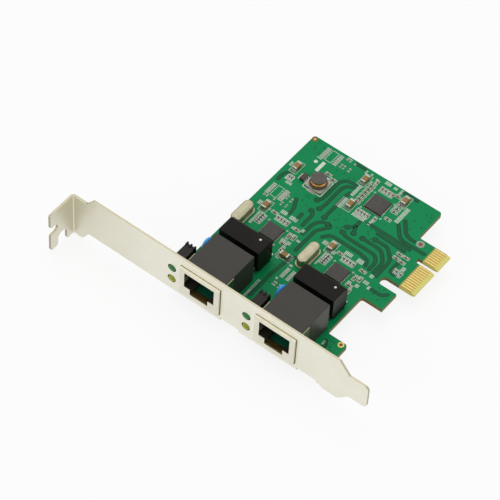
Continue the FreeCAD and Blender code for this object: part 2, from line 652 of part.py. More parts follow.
# ---------------------------------------------------------------------------------------
# The jacks. Everything of a jack is drawn about its own middle and placed at its port.
def plug_outline(sketch, wide, keyway):
    """The opening for the plug: a wide part with the latch's keyway below it."""
    outline(sketch, [
        ("0 - %s / 2" % keyway, "Sizes.keyway_low"),
        ("%s / 2" % keyway, "Sizes.keyway_low"),
        ("%s / 2" % keyway, "Sizes.opening_low"),
        ("%s / 2" % wide, "Sizes.opening_low"),
        ("%s / 2" % wide, "Sizes.opening_top"),
        ("0 - %s / 2" % wide, "Sizes.opening_top"),
        ("0 - %s / 2" % wide, "Sizes.opening_low"),
        ("0 - %s / 2" % keyway, "Sizes.opening_low"),
    ])


def make_housing(n):
    """Moulded housing: plug cavity, comb slots in its roof, rear chamber, locating pegs."""
    body = new_body("jack_housing_%d" % (n + 1), x=port(n))
    half = "(Sizes.shield_wide / 2 - Sizes.shield_thick - Sizes.jack_gap)"
    high = "(Sizes.shield_high - Sizes.shield_thick - Sizes.jack_gap)"
    block = new_sketch(body, "XZ_Plane", "0 - " + JACK_FRONT)
    rectangle(block, "0 - " + half, "0", half, high)
    pad(body, block, "Sizes.housing_deep", reverse=True)
    mouth = new_sketch(body, "XZ_Plane", "0 - " + JACK_FRONT)
    plug_outline(mouth, "Sizes.cavity_wide", "Sizes.keyway_wide")
    pocket(body, mouth, "Sizes.cavity_deep")
    chamber = new_sketch(body, "XY_Plane")
    rectangle(chamber,
              "0 - 4 * Sizes.contact_pitch - Sizes.contact_thick", CHAMBER,
              "4 * Sizes.contact_pitch + Sizes.contact_thick", CHAMBER + " + Sizes.chamber_deep")
    pocket(body, chamber, "Sizes.opening_top + Sizes.comb_deep", reverse=True)
    comb = new_sketch(body, "XZ_Plane", "0 - %s - Sizes.comb_lip" % JACK_FRONT)
    rectangle(comb,
              "0 - 3.5 * Sizes.contact_pitch - Sizes.comb_wide / 2",
              "Sizes.opening_top - Sizes.comb_deep / 2",
              "0 - 3.5 * Sizes.contact_pitch + Sizes.comb_wide / 2",
              "Sizes.opening_top + Sizes.comb_deep")
    slot = pocket(body, comb, "%s - %s - Sizes.comb_lip" % (CHAMBER, JACK_FRONT))
    repeat(body, slot, "X_Axis", "Sizes.contact_pitch", "8")
    pegs = new_sketch(body, "XY_Plane")
    for side in (-1, 1):
        sided(pegs, "%d * Sizes.peg_spread" % side, "Sizes.peg_place", "Sizes.peg_radius", 12)
    pad(body, pegs, "Sizes.board_thick + Sizes.tail_reach / 2", reverse=True)


def make_shield(n):
    """Plated shield: framed face, top and sides folded back, legs and ground springs."""
    body = new_body("jack_shield_%d" % (n + 1), x=port(n))
    half = "Sizes.shield_wide / 2"
    inner = "(Sizes.shield_wide / 2 - Sizes.shield_thick)"
    inner_top = "(Sizes.shield_high - Sizes.shield_thick)"
    side_top = "(Sizes.shield_high - Sizes.shield_side_step)"
    face = new_sketch(body, "XZ_Plane", "Sizes.shield_proud")
    rectangle(face, "0 - " + half, "0", half, "Sizes.shield_high")
    plug_outline(face, "Sizes.opening_wide", "Sizes.keyway_wide")
    pad(body, face, "Sizes.shield_thick", reverse=True)
    wrap = new_sketch(body, "XZ_Plane", "Sizes.shield_proud")
    outline(wrap, [
        ("0 - " + half, "0"),
        ("0 - " + half, "Sizes.shield_high"),
        (half, "Sizes.shield_high"),
        (half, "0"),
        (inner, "0"),
        (inner, inner_top),
        ("0 - " + inner, inner_top),
        ("0 - " + inner, "0"),
    ])
    pad(body, wrap, "Sizes.shield_top_deep", reverse=True)
    far = "(Sizes.shield_side_deep - Sizes.shield_proud)"
    for side in (-1, 1):
        lift = "Sizes.shield_wide / 2 - Sizes.shield_thick"
        if side < 0:
            lift = "0 - Sizes.shield_wide / 2"
        wing = new_sketch(body, "YZ_Plane", lift)
        outline(wing, [
            ("0", "0"),
            (far + " - Sizes.leg_back - Sizes.leg_wide", "0"),
            (far + " - Sizes.leg_back - Sizes.leg_wide", LEAD_END),
            (far + " - Sizes.leg_back", LEAD_END),
            (far + " - Sizes.leg_back", "0"),
            (far, "0"),
            (far, side_top),
            ("0", side_top),
        ])
        pad(body, wing, "Sizes.shield_thick")
        edge = "%d * Sizes.opening_wide / 2" % side
        out = "%d * Sizes.shield_thick" % side
        bulge = "%d * Sizes.spring_bulge" % side
        front = "(0 - Sizes.shield_proud)"
        spring = new_sketch(body, "XY_Plane", "Sizes.spring_low")
        outline(spring, [
            (edge, front),
            ("%s - %s" % (edge, bulge), front + " + Sizes.spring_deep / 2"),
            (edge, front + " + Sizes.spring_deep"),
            ("%s + %s" % (edge, out), front + " + Sizes.spring_deep"),
            ("%s - %s + %s" % (edge, bulge, out), front + " + Sizes.spring_deep / 2"),
            ("%s + %s" % (edge, out), front),
        ])
        pad(body, spring, "Sizes.spring_high")


def make_contacts(n):
    """Eight contact springs: up the rear chamber, along the roof, folded back to a free end."""
    body = new_body("jack_contacts_%d" % (n + 1), x=port(n))
    top = "(Sizes.opening_top + Sizes.comb_deep - Sizes.contact_thick / 2)"
    under = "(%s - Sizes.contact_thick)" % top
    nose = "(%s + Sizes.contact_nose)" % JACK_FRONT
    end = "(%s + Sizes.contact_end)" % JACK_FRONT
    for row in (0, 1):
        rear = "(%s + %d * Sizes.tail_step)" % (TAILS, row)
        spring = new_sketch(body, "YZ_Plane", "%.1f * Sizes.contact_pitch" % (row - 3.5))
        outline(spring, [
            (rear + " + Sizes.contact_thick", LEAD_END),
            (rear + " + Sizes.contact_thick", top),
            (nose + " + Sizes.contact_thick / 2", top),
            (nose, under),
            (nose, top + " - 2 * Sizes.contact_thick"),
            (end, "Sizes.contact_dip"),
            (end, "Sizes.contact_dip + Sizes.contact_thick"),
            (nose + " + 1.5 * Sizes.contact_thick", under),
            (rear, under),
            (rear, LEAD_END),
        ])
        wire = pad(body, spring, "Sizes.contact_wide", middle=True)
        repeat(body, wire, "X_Axis", "2 * Sizes.contact_pitch", "4")


# ---------------------------------------------------------------------------------------
# The lights: two in a holder beside each jack, one above the other.
def tip_edge(edge):
    box = edge.BoundBox
    return near(box.YMin, 0 - size("led_proud")) and near(box.YMax, 0 - size("led_proud"))


def make_lights(n):
    centre = port(n) + " - Sizes.led_offset"
    holder = new_body("led_holder_%d" % (n + 1), x=centre)
    half = "Sizes.holder_wide / 2"
    far = "(%s + Sizes.holder_deep)" % HOLDER_FRONT
    block = new_sketch(holder, "XZ_Plane", "0 - " + HOLDER_FRONT)
    rectangle(block, "0 - " + half, "0", half, "Sizes.holder_high")
    pad(holder, block, "Sizes.holder_deep", reverse=True)
    hollow = new_sketch(holder, "XZ_Plane", "0 - %s - Sizes.holder_block" % HOLDER_FRONT)
    rectangle(hollow, "0 - %s + Sizes.holder_wall" % half, "0 - Sizes.holder_wall",
              half + " - Sizes.holder_wall", "Sizes.holder_high - Sizes.holder_roof")
    pocket(holder, hollow)
    bores = new_sketch(holder, "XZ_Plane", "0 - " + HOLDER_FRONT)
    for height in ("Sizes.led_low", "Sizes.led_high"):
        sided(bores, "0", height, "Sizes.led_radius + Sizes.jack_gap", 12)
    pocket(holder, bores, "Sizes.holder_block")
    teeth = new_sketch(holder, "YZ_Plane")
    for step in (1, 3):
        rectangle(teeth,
                  far + " - Sizes.holder_wall * 2", "Sizes.holder_high * %d / 5" % step,
                  far + " + Sizes.holder_wall", "Sizes.holder_high * %d / 5" % (step + 1))
    pocket(holder, teeth, "Sizes.holder_wide * 2", middle=True)

    for name, height in (("yellow_led", "Sizes.led_low"), ("green_led", "Sizes.led_high")):
        # A sixteen-sided rod with its tip bevelled towards a dome.
        light = new_body("%s_%d" % (name, n + 1), x=centre, z=height)
        section = new_sketch(light, "XZ_Plane", "Sizes.led_proud")
        sided(section, "0", "0", "Sizes.led_radius * 0.98", 16)
        pad(light, section, LED_REAR + " + Sizes.led_proud", reverse=True)
        soften(light, "Chamfer", "Sizes.led_radius * 0.4", tip_edge)

    leads = new_body("led_leads_%d" % (n + 1), x=centre)
    bends = new_sketch(leads, "YZ_Plane", "0 - Sizes.led_lead_pitch / 2")
    for height, bend in (("Sizes.led_low", LEAD_LOW), ("Sizes.led_high", LEAD_HIGH)):
        outline(bends, [
            (LED_REAR, height + " - Sizes.led_lead / 2"),
            (bend, height + " - Sizes.led_lead / 2"),
            (bend, LEAD_END),
            (bend + " + Sizes.led_lead", LEAD_END),
            (bend + " + Sizes.led_lead", height + " + Sizes.led_lead / 2"),
            (LED_REAR, height + " + Sizes.led_lead / 2"),
        ])
    wires = pad(leads, bends, "Sizes.led_lead", middle=True)
    repeat(leads, wires, "X_Axis", "Sizes.led_lead_pitch", "2")


# ---------------------------------------------------------------------------------------
# The magnetics behind each jack: a bevelled case on two rails, with gull-wing pins.
def make_magnetics(n):
    case = new_body("magnetics_case_%d" % (n + 1), x=port(n) + " - Sizes.case_offset")
    near_side = "Sizes.case_near"
    far_side = "(Sizes.case_near + Sizes.case_deep)"
    section = new_sketch(case, "YZ_Plane")
    outline(section, [
        (near_side, "Sizes.case_lift"),
        (far_side, "Sizes.case_lift"),
        (far_side, "Sizes.case_top - Sizes.case_bevel"),
        (far_side + " - Sizes.case_bevel", "Sizes.case_top"),
        (near_side, "Sizes.case_top"),
    ])
    pad(case, section, "Sizes.case_wide", middle=True)
    rails = new_sketch(case, "XY_Plane")
    for side in (-1, 1):
        rectangle(rails,
                  "%d * (Sizes.case_wide / 2 - Sizes.case_rail)" % side,
                  near_side + " + Sizes.case_rail",
                  "%d * Sizes.case_wide / 2" % side, far_side + " - Sizes.case_rail")
    pad(case, rails, "Sizes.case_lift")

    pins = new_body("magnetics_pins_%d" % (n + 1), x=port(n) + " - Sizes.case_offset")
    gulls = new_sketch(pins, "YZ_Plane", "0 - Sizes.pin_pitch * (Sizes.pins_a_side - 1) / 2")
    drop = "Sizes.pin_exit"
    for side, out in ((near_side, -1), (far_side, 1)):
        knee = "%s + %d * (Sizes.pin_reach - Sizes.pin_foot)" % (side, out)
        outline(gulls, [
            (side, drop),
            (side, drop + " + Sizes.pin_thick"),
            ("%s + %d * Sizes.pin_thick" % (knee, out), drop + " + Sizes.pin_thick"),
            ("%s + %d * Sizes.pin_thick" % (knee, out), "Sizes.pin_thick"),
            ("%s + %d * Sizes.pin_reach" % (side, out), "Sizes.pin_thick"),
            ("%s + %d * Sizes.pin_reach" % (side, out), "0"),
            (knee, "0"),
            (knee, drop),
        ])
    pair = pad(pins, gulls, "Sizes.pin_wide", middle=True)
    repeat(pins, pair, "X_Axis", "Sizes.pin_pitch", "Sizes.pins_a_side")


# A ceramic disc capacitor stands on edge on its two leads beside each jack.
def rim_edge(edge):
    box = edge.BoundBox
    return near(box.XMin, box.XMax) and near(abs(box.XMin), size("disc_thick") / 2)


def make_disc(n):
    centre_height = "(Sizes.disc_radius + Sizes.disc_lift)"
    body = new_body("disc_capacitor_%d" % (n + 1), x=port(n) + " - " + DISC_OFFSET,
                    y="Sizes.disc_y", z=centre_height)
    lens = new_sketch(body, "YZ_Plane")
    sided(lens, "0", "0", "Sizes.disc_radius", 24)
    pad(body, lens, "Sizes.disc_thick", middle=True)
    soften(body, "Chamfer", "Sizes.disc_thick * 0.35", rim_edge)
    leads = new_sketch(body, "XY_Plane", "0 - Sizes.disc_radius / 2")
    for side in (-1, 1):
        sided(leads, "0", "%d * Sizes.disc_leads / 2" % side, "Sizes.wire_radius")
    pad(body, leads,
        "Sizes.disc_radius / 2 + Sizes.disc_lift + Sizes.board_thick + Sizes.tail_reach",
        reverse=True)


for n in PORTS:
    make_housing(n)
    make_shield(n)
    make_contacts(n)
    make_lights(n)
    make_magnetics(n)
    make_disc(n)


# ---------------------------------------------------------------------------------------
# Two crystals: flanged oval cans, soldered flat on the board by two wire leads.
def oval(sketch, wide, long):
    corner = "(%s) / 2 - 0.02 * (%s)" % (wide, wide)
    outline(sketch, [
        ("0 - (%s) / 2" % wide, "0 - (%s) / 2" % long, corner),
        ("(%s) / 2" % wide, "0 - (%s) / 2" % long, corner),
        ("(%s) / 2" % wide, "(%s) / 2" % long, corner),
        ("0 - (%s) / 2" % wide, "(%s) / 2" % long, corner),
    ])


def top_edge(height):
    def choose(edge):
        box = edge.BoundBox
        return near(box.ZMin, height) and near(box.ZMax, height)
    return choose


crystals = ("Sizes.crystal_first_x", "Sizes.crystal_second_x")
for number, crystal_x in enumerate(crystals, start=1):
    crystal = new_body("crystal_%d" % number, x=crystal_x, y="Sizes.crystal_y")
    flange = new_sketch(crystal, "XY_Plane")
    oval(flange, "Sizes.crystal_wide + 2 * Sizes.crystal_flange",
         "Sizes.crystal_long + 2 * Sizes.crystal_flange")
    pad(crystal, flange, "Sizes.flange_thick")
    can = new_sketch(crystal, "XY_Plane")
    oval(can, "Sizes.crystal_wide", "Sizes.crystal_long")
    pad(crystal, can, "Sizes.crystal_high")
    soften(crystal, "Chamfer", "Sizes.crystal_round", top_edge(size("crystal_high")))
    leads = new_sketch(crystal, "XY_Plane")
    for side in (-1, 1):
        sided(leads, "0", "%d * Sizes.crystal_leads / 2" % side, "Sizes.wire_radius")
    pad(crystal, leads, "Sizes.board_thick + Sizes.tail_reach", reverse=True)

# Three square chips.
chips = (
    ("ethernet_chip_1", "Sizes.chip_first_x", "Sizes.chip_y", "Sizes.chip_wide"),
    ("ethernet_chip_2", "Sizes.chip_second_x", "Sizes.chip_y", "Sizes.chip_wide"),
    ("switch_chip", "Sizes.switch_x", "Sizes.switch_y", "Sizes.switch_wide"),
)
for name, chip_x, chip_y, wide in chips:
    chip = new_body(name, x=chip_x, y=chip_y)
    square = new_sketch(chip, "XY_Plane")
    rectangle(square, "0 - %s / 2" % wide, "0 - %s / 2" % wide, wide + " / 2", wide + " / 2")
    pad(chip, square, "Sizes.chip_high")
    soften(chip, "Chamfer", "Sizes.chip_edge", top_edge(size("chip_high")))

# ---------------------------------------------------------------------------------------
# The power inductor: a drum core on a square base, its winding, and two end terminals.
CORE_LOW = "(Sizes.terminal_thick + Sizes.coil_base_thick)"
WOUND_LOW = "(%s + Sizes.coil_flange)" % CORE_LOW
WOUND_TOP = "(%s + Sizes.coil_gap)" % WOUND_LOW
base = new_body("inductor_base", x="Sizes.coil_x", y="Sizes.coil_y")
square = new_sketch(base, "XY_Plane", "Sizes.terminal_thick")
cut = "Sizes.coil_base / 2 - Sizes.coil_base_thick"
side = "Sizes.coil_base / 2"
outline(square, [
    ("0 - (%s)" % cut, "0 - " + side), (cut, "0 - " + side),
    (side, "0 - (%s)" % cut), (side, cut),
    (cut, side), ("0 - (%s)" % cut, side),
    ("0 - " + side, cut), ("0 - " + side, "0 - (%s)" % cut),
])
pad(base, square, "Sizes.coil_base_thick")

core = new_body("inductor_core", x="Sizes.coil_x", y="Sizes.coil_y")
drum = new_sketch(core, "XZ_Plane")
outline(drum, [
    ("0", CORE_LOW),
    ("Sizes.coil_radius", CORE_LOW),
    ("Sizes.coil_radius", WOUND_LOW),
    ("Sizes.coil_post", WOUND_LOW),
    ("Sizes.coil_post", WOUND_TOP),
    ("Sizes.coil_radius", WOUND_TOP),
    ("Sizes.coil_radius", WOUND_TOP + " + Sizes.coil_flange"),
    ("0", WOUND_TOP + " + Sizes.coil_flange"),
])
turn(core, drum, "V_Axis")

winding = new_body("inductor_winding", x="Sizes.coil_x", y="Sizes.coil_y")
ring = new_sketch(winding, "XZ_Plane")
rectangle(ring, "Sizes.coil_post", WOUND_LOW,
          "Sizes.coil_radius - Sizes.coil_wire_in", WOUND_TOP)
turn(winding, ring, "V_Axis")

terminals = new_body("inductor_terminals", x="Sizes.coil_x", y="Sizes.coil_y")
plates = new_sketch(terminals, "XY_Plane")
for side in (-1, 1):
    rectangle(plates,
              "0 - Sizes.terminal_wide / 2", "%d * Sizes.terminal_long / 2" % side,
              "Sizes.terminal_wide / 2",
              "%d * (Sizes.terminal_long / 2 - Sizes.coil_base / 3)" % side)
pad(terminals, plates, "Sizes.terminal_thick")

# The regulator beside it, with three pins on each side.
regulator = new_body("regulator", x="Sizes.regulator_x", y="Sizes.regulator_y")
block = new_sketch(regulator, "XY_Plane", "Sizes.end_lap")
rectangle(block,
          "0 - Sizes.regulator_wide / 2", "0 - Sizes.regulator_long / 2",
          "Sizes.regulator_wide / 2", "Sizes.regulator_long / 2")
pad(regulator, block, "Sizes.regulator_high")
regulator_pins = new_body("regulator_pins", x="Sizes.regulator_x", y="Sizes.regulator_y")
gulls = new_sketch(regulator_pins, "XZ_Plane", "Sizes.regulator_pitch")
PIN_HIGH = "Sizes.regulator_high / 2"
THIN = "Sizes.pin_thick / 2"
for out in (-1, 1):
    body_side = "%d * Sizes.regulator_wide / 2" % out
    knee = "%s + %d * Sizes.regulator_reach / 3" % (body_side, out)
    outline(gulls, [
        (body_side, PIN_HIGH),
        (body_side, "%s + %s" % (PIN_HIGH, THIN)),
        ("%s + %d * %s" % (knee, out, THIN), "%s + %s" % (PIN_HIGH, THIN)),
        ("%s + %d * %s" % (knee, out, THIN), THIN),
        ("%s + %d * Sizes.regulator_reach" % (body_side, out), THIN),
        ("%s + %d * Sizes.regulator_reach" % (body_side, out), "0"),
        (knee, "0"),
        (knee, PIN_HIGH),
    ])
pair = pad(regulator_pins, gulls, "Sizes.pin_wide", middle=True)
repeat(regulator_pins, pair, "Y_Axis", "Sizes.regulator_pitch", "3")

# ---------------------------------------------------------------------------------------
# The screws: pan heads on the board, shanks through the board and the ears.
screws = new_body("bracket_screws", x="Sizes.ear_first", y="Sizes.screw_y")
SPREAD = "Sizes.ear_second - Sizes.ear_first"
cap = new_sketch(screws, "XY_Plane")
sided(cap, "0", "0", "Sizes.screw_head_radius", 24)
sided(cap, SPREAD, "0", "Sizes.screw_head_radius", 24)
pad(screws, cap, "Sizes.screw_head_high")
soften(screws, "Chamfer", "Sizes.screw_head_high * 0.45", top_edge(size("screw_head_high")))
rod = new_sketch(screws, "XY_Plane")
sided(rod, "0", "0", "Sizes.screw_radius * 0.98", 16)
sided(rod, SPREAD, "0", "Sizes.screw_radius * 0.98", 16)
pad(screws, rod, "Sizes.screw_end - (%s)" % LOW, reverse=True)
cross = new_sketch(screws, "XY_Plane", "Sizes.screw_head_high")
arm = "Sizes.cross_long / 2"
rib = "Sizes.cross_wide / 2"
outline(cross, [
    (arm, "0 - " + rib), (arm, rib), (rib, rib), (rib, arm),
    ("0 - " + rib, arm), ("0 - " + rib, rib), ("0 - " + arm, rib), ("0 - " + arm, "0 - " + rib),
    ("0 - " + rib, "0 - " + rib), ("0 - " + rib, "0 - " + arm), (rib, "0 - " + arm),
    (rib, "0 - " + rib),
])
recess = pocket(screws, cross, "Sizes.cross_deep")
repeat(screws, recess, "X_Axis", SPREAD, "2")


# ---------------------------------------------------------------------------------------
# The small chip parts: a ceramic body between two metal ends, scattered over the board.
def chip_part(x, y, turned, long, wide, high, end):
    """Body and ends of one chip part. A turned part lies along X, the others along Y."""
    lap = size("end_lap")
    body = Part.makeBox(wide, long - 2 * end, high, V(-wide / 2, end - long / 2, lap))
    caps = []
    for start in (-long / 2, long / 2 - end):
        corner = V(-wide / 2 - lap, start, 0)
        caps.append(Part.makeBox(wide + 2 * lap, end, high + 2 * lap, corner))
    for solid in [body] + caps:
        if turned:
            solid.rotate(V(0, 0, 0), V(0, 0, 1), 90)
        solid.translate(V(x, y, 0))
    return body, caps


def chip_group(label, places, long, wide, high, end):
    """Two nodes for one kind of chip part: all the bodies, and all the metal ends."""
    bodies = []
    ends = []
    for x, y, turned in places:
        body, caps = chip_part(x, y, turned, size(long), size(wide), size(high), size(end))
        bodies.append(body)
        ends.extend(caps)
    for name, solids in ((label + "s", bodies), (label + "_ends", ends)):
        feature = doc.addObject("Part::Feature", name)
        feature.Label = name
        feature.Shape = Part.makeCompound(solids)
        feature.Placement = FreeCAD.Placement(V(0, 0, 0), FreeCAD.Rotation())
        nodes.append(feature)


def spot(anchor, across, along, turned):
    """A place so many grid steps from the middle of the piece that the part serves."""
    return (anchor[0] + across * grid, anchor[1] + along * grid, turned)


def run(anchor, across, along, step_across, step_along, count, turned):
    """Parts in a row, the first of them at the given place."""
    steps = range(count)
    return [spot(anchor, across + i * step_across, along + i * step_along, turned) for i in steps]


grid = size("layout_grid")
switch = (size("switch_x"), size("switch_y"))
coil = (size("coil_x"), size("coil_y"))
controllers = (
    (size("chip_first_x"), size("chip_y")),
    (size("chip_second_x"), size("chip_y")),
)
tongue_root = (size("board_left") + size("board_wide"), size("key_centre"))

# Round the switch chip: decoupling capacitors along its left and upper sides, resistors
# along the other two.
capacitors = run(switch, -64, -30, 0, 17, 6, True)
capacitors += run(switch, -31, 65, 14, 0, 4, False)
capacitors += [spot(switch, -60, 77, False), spot(switch, 30, 74, True)]
resistors = run(switch, 59, 12, 0, 17, 3, True)
resistors += run(switch, -39, -60, 13, 0, 4, False)
resistors += [spot(switch, 26, -55, False), spot(switch, 60, -26, True)]

# The same set of small parts serves each controller chip.
for chip in controllers:
    resistors += run(chip, -21, 62, 13, 0, 4, False)
    resistors += run(chip, -64, 7, 0, 11, 4, True)
    capacitors += [spot(chip, -41, 73, True), spot(chip, 54, 22, False)]
    capacitors += [spot(chip, 72, 28, False), spot(chip, 59, 61, True)]
    capacitors += [spot(chip, 58, -14, True), spot(chip, 70, -34, False)]

# Coupling capacitors at the root of the contact tongue, and the regulator's parts.
capacitors += [spot(tongue_root, -7, -17, True), spot(tongue_root, -7, -37, True)]
capacitors += [spot(tongue_root, 17, -16, True), spot(tongue_root, 17, -40, True)]
resistors += [spot(tongue_root, 25, -84, False), spot(tongue_root, 43, -86, False)]
capacitors += [spot(coil, 0, 58, True), spot(coil, 27, 48, True)]
resistors += run(coil, -96, -35, 10, 0, 2, False)

large = [
    spot(coil, -100, 14, False),
    spot(coil, 110, 115, False),
    spot(switch, -72, -57, False),
    spot(switch, 62, 70, False),
    spot(controllers[0], -81, 76, False),
    spot(controllers[0], 94, -52, True),
    spot(controllers[1], -78, 76, False),
]
chip_group("large_capacitor", large, "large_long", "large_wide", "large_high", "large_end")
chip_group("chip_capacitor", capacitors, "small_long", "small_wide", "capacitor_high",
           "small_end")
chip_group("chip_resistor", resistors, "small_long", "small_wide", "resistor_high",
           "small_end")

# ---------------------------------------------------------------------------------------
doc.recompute()
for item in doc.Objects:
    if "Invalid" in item.State or "Error" in item.State:
        raise RuntimeError("%s failed: %s" % (item.Label, item.State))
for node in nodes:
    shape = node.Shape
    if shape.isNull() or not shape.isValid() or not shape.Solids:
        raise RuntimeError("%s has no valid solid" % node.Label)

os.makedirs("parts", exist_ok=True)
for node in nodes:
    node.Shape.exportStep("parts/%s.step" % node.Label)
    print("%-24s %3d solids %10.2f mm3" % (node.Label, len(node.Shape.Solids), node.Shape.Volume))
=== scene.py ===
# %% [markdown]
# # Dressing a network card
# The card comes from the CAD model as plain solids, one object for each kind of piece. This
# lesson gives every piece the finish of the real one, and adds what is too thin for CAD:
# solder, pads, printing, copper under the green mask, and the turns of the inductor.

# %% Load the frame
import math
import random

import bpy
import bmesh
from mathutils import Matrix, Vector


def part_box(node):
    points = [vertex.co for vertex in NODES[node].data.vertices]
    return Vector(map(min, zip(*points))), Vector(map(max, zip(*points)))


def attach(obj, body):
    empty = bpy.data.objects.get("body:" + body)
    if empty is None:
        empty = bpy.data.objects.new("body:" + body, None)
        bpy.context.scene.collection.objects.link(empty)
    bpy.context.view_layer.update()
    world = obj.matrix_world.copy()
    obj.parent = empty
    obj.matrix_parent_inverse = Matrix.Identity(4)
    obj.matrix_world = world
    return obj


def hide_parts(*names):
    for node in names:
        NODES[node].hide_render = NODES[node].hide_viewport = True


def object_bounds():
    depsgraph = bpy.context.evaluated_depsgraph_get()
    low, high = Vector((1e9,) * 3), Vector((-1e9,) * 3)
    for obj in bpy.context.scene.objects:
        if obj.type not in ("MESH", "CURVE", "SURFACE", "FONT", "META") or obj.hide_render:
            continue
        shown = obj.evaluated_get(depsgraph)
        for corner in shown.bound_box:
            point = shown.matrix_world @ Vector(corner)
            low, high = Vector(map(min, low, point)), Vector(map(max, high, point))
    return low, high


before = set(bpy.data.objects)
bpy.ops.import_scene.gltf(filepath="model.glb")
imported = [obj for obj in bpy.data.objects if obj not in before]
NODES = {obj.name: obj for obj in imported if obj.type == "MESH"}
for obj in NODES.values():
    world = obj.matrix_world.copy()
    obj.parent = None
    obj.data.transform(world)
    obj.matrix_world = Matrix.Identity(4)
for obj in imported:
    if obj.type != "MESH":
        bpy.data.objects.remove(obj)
CAD_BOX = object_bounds()
print(len(NODES), "pieces from CAD, box", CAD_BOX)

# %% [markdown]
# Blender works in metres and a card is drawn in millimetres, so one factor turns one into
# the other. The board's top is at height 0, X runs along the bracket and Y away from it.

# %% Units and a few helpers
MM = 0.001
scene = bpy.context.scene
random.seed(11)


def millimetres(node):
    low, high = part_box(node)
    return low / MM, high / MM


BOARD_LOW, BOARD_TOP = (corner.z for corner in millimetres("circuit_board"))
print("board from", round(BOARD_LOW, 2), "to", round(BOARD_TOP, 2), "mm")

# %% [markdown]
# Colours are easiest to judge as they look on a screen, from 0 to 255. Shaders want the
# amount of light instead, so each colour is converted here.

# %% Colours
def colour(red, green, blue):
    def light(value):
        value /= 255
        return value / 12.92 if value <= 0.04045 else ((value + 0.055) / 1.055) ** 2.4
    return (light(red), light(green), light(blue), 1.0)


print("mid grey is", [round(part, 3) for part in colour(128, 128, 128)])

# %% [markdown]
# A finish is a node tree, which is quicker to read as sums. The class below wraps a socket
# that carries a number, so that `1 - mask * 0.5` adds the Math nodes for it. Colours don't
# go through Math nodes, which would turn them grey; they're mixed by a Mix node.

# %% Arithmetic on sockets
class Amount:
    def __init__(self, nodes, socket):
        self.nodes, self.socket = nodes, socket

    def work(self, operation, *values):
        values = [v.socket if isinstance(v, Amount) else v for v in values]
        node = self.nodes.node("Math", {"operation": operation}, dict(enumerate(values)))
        return Amount(self.nodes, node.outputs[0])

    def __add__(self, other):
        return self.work("ADD", self, other)

    def __radd__(self, other):
        return self.work("ADD", other, self)

    def __sub__(self, other):
        return self.work("SUBTRACT", self, other)

    def __rsub__(self, other):
        return self.work("SUBTRACT", other, self)

    def __mul__(self, other):
        return self.work("MULTIPLY", self, other)

    def __rmul__(self, other):
        return self.work("MULTIPLY", other, self)

    def __gt__(self, other):
        return self.work("GREATER_THAN", self, other)

    def __lt__(self, other):
        return self.work("LESS_THAN", self, other)

    def __abs__(self):
        return self.work("ABSOLUTE", self)

    def larger(self, other):
        return self.work("MAXIMUM", self, other)

    def bounded(self):
        return self.work("MAXIMUM", self.work("MINIMUM", self, 1.0), 0.0)

# %% [markdown]
# Every finish starts the same way: a Principled shader and the piece's own coordinates,
# which are the card's millimetres divided by a thousand, so a grain keeps its real size.
# Moulded and stamped edges are never quite sharp. The Bevel node rounds them in the normal,
# and the angle between that normal and the true one marks the edges: where they rub, and on the
# bracket where a highlight is painted.

# %% One class for all finishes
class Nodes:
    """An emptied node tree, and the one method that adds to it."""
    def __init__(self, owner):
        owner.use_nodes = True
        self.tree = owner.node_tree
        self.tree.nodes.clear()

    def node(self, kind, settings=None, inputs=None):
        node = self.tree.nodes.new("ShaderNode" + kind)
        for name, value in (settings or {}).items():
            setattr(node, name, value)
        for name, value in (inputs or {}).items():
            value = value.socket if isinstance(value, Amount) else value
            if isinstance(value, bpy.types.NodeSocket):
                self.tree.links.new(value, node.inputs[name])
            else:
                node.inputs[name].default_value = value
        return node

    def amount(self, socket):
        return Amount(self, socket)


class Finish(Nodes):
    EDGE_REACH = 3.0    # how quickly a rounded normal counts as an edge

    def __init__(self, name, roughness=0.5, metallic=0.0, **constants):
        self.material = bpy.data.materials.new(name)
        super().__init__(self.material)
        self.output = self.node("OutputMaterial")
        self.shader = self.node("BsdfPrincipled", {}, {
            "Roughness": roughness, "Metallic": metallic, **constants})
        self.tree.links.new(self.shader.outputs[0], self.output.inputs["Surface"])
        self.place = self.node("TexCoord").outputs["Object"]

    def axes(self, vector=None):
        parts = self.node("SeparateXYZ", {}, {0: vector or self.place})
        return [self.amount(socket) for socket in parts.outputs]

    def stretched(self, *scale):
        return self.node("Mapping", {}, {"Vector": self.place, "Scale": scale}).outputs[0]

    def noise(self, size, detail=3.0, where=None):
        """Soft noise from 0 to 1 whose lumps are about `size` millimetres across."""
        node = self.node("TexNoise", {}, {
            "Vector": where or self.place, "Scale": 1 / (size * MM), "Detail": detail})
        return self.amount(node.outputs[0])

    def mix(self, mask, first, second):
        """Mixes two colours, each a socket or (red, green, blue) as seen on a screen."""
        first, second = (colour(*shade) if isinstance(shade, tuple) else shade
                         for shade in (first, second))
        node = self.node("Mix", {"data_type": "RGBA"}, {0: mask, 6: first, 7: second})
        return node.outputs[2]

    def colour_from(self, socket):
        self.tree.links.new(socket, self.shader.inputs["Base Color"])

    def roughness_from(self, amount):
        self.tree.links.new(amount.bounded().socket, self.shader.inputs["Roughness"])

    def true_normal(self):
        return self.node("NewGeometry").outputs["True Normal"]

    def rounded(self, radius):
        return self.node("Bevel", {"samples": 4}, {"Radius": radius * MM}).outputs[0]

    def edges(self, radius):
        """1 on an edge, 0 away from it."""
        cosine = self.node("VectorMath", {"operation": "DOT_PRODUCT"}, {
            0: self.rounded(radius), 1: self.true_normal()}).outputs["Value"]
        return ((1 - self.amount(cosine)) * self.EDGE_REACH).bounded()

    def relief(self, height, depth, radius=0.0):
        """Bumps `depth` millimetres deep, over edges rounded to `radius`."""
        inputs = {"Height": height, "Distance": depth * MM, "Strength": 1.0}
        if radius:
            inputs["Normal"] = self.rounded(radius)
        bump = self.node("Bump", {}, inputs).outputs[0]
        self.tree.links.new(bump, self.shader.inputs["Normal"])


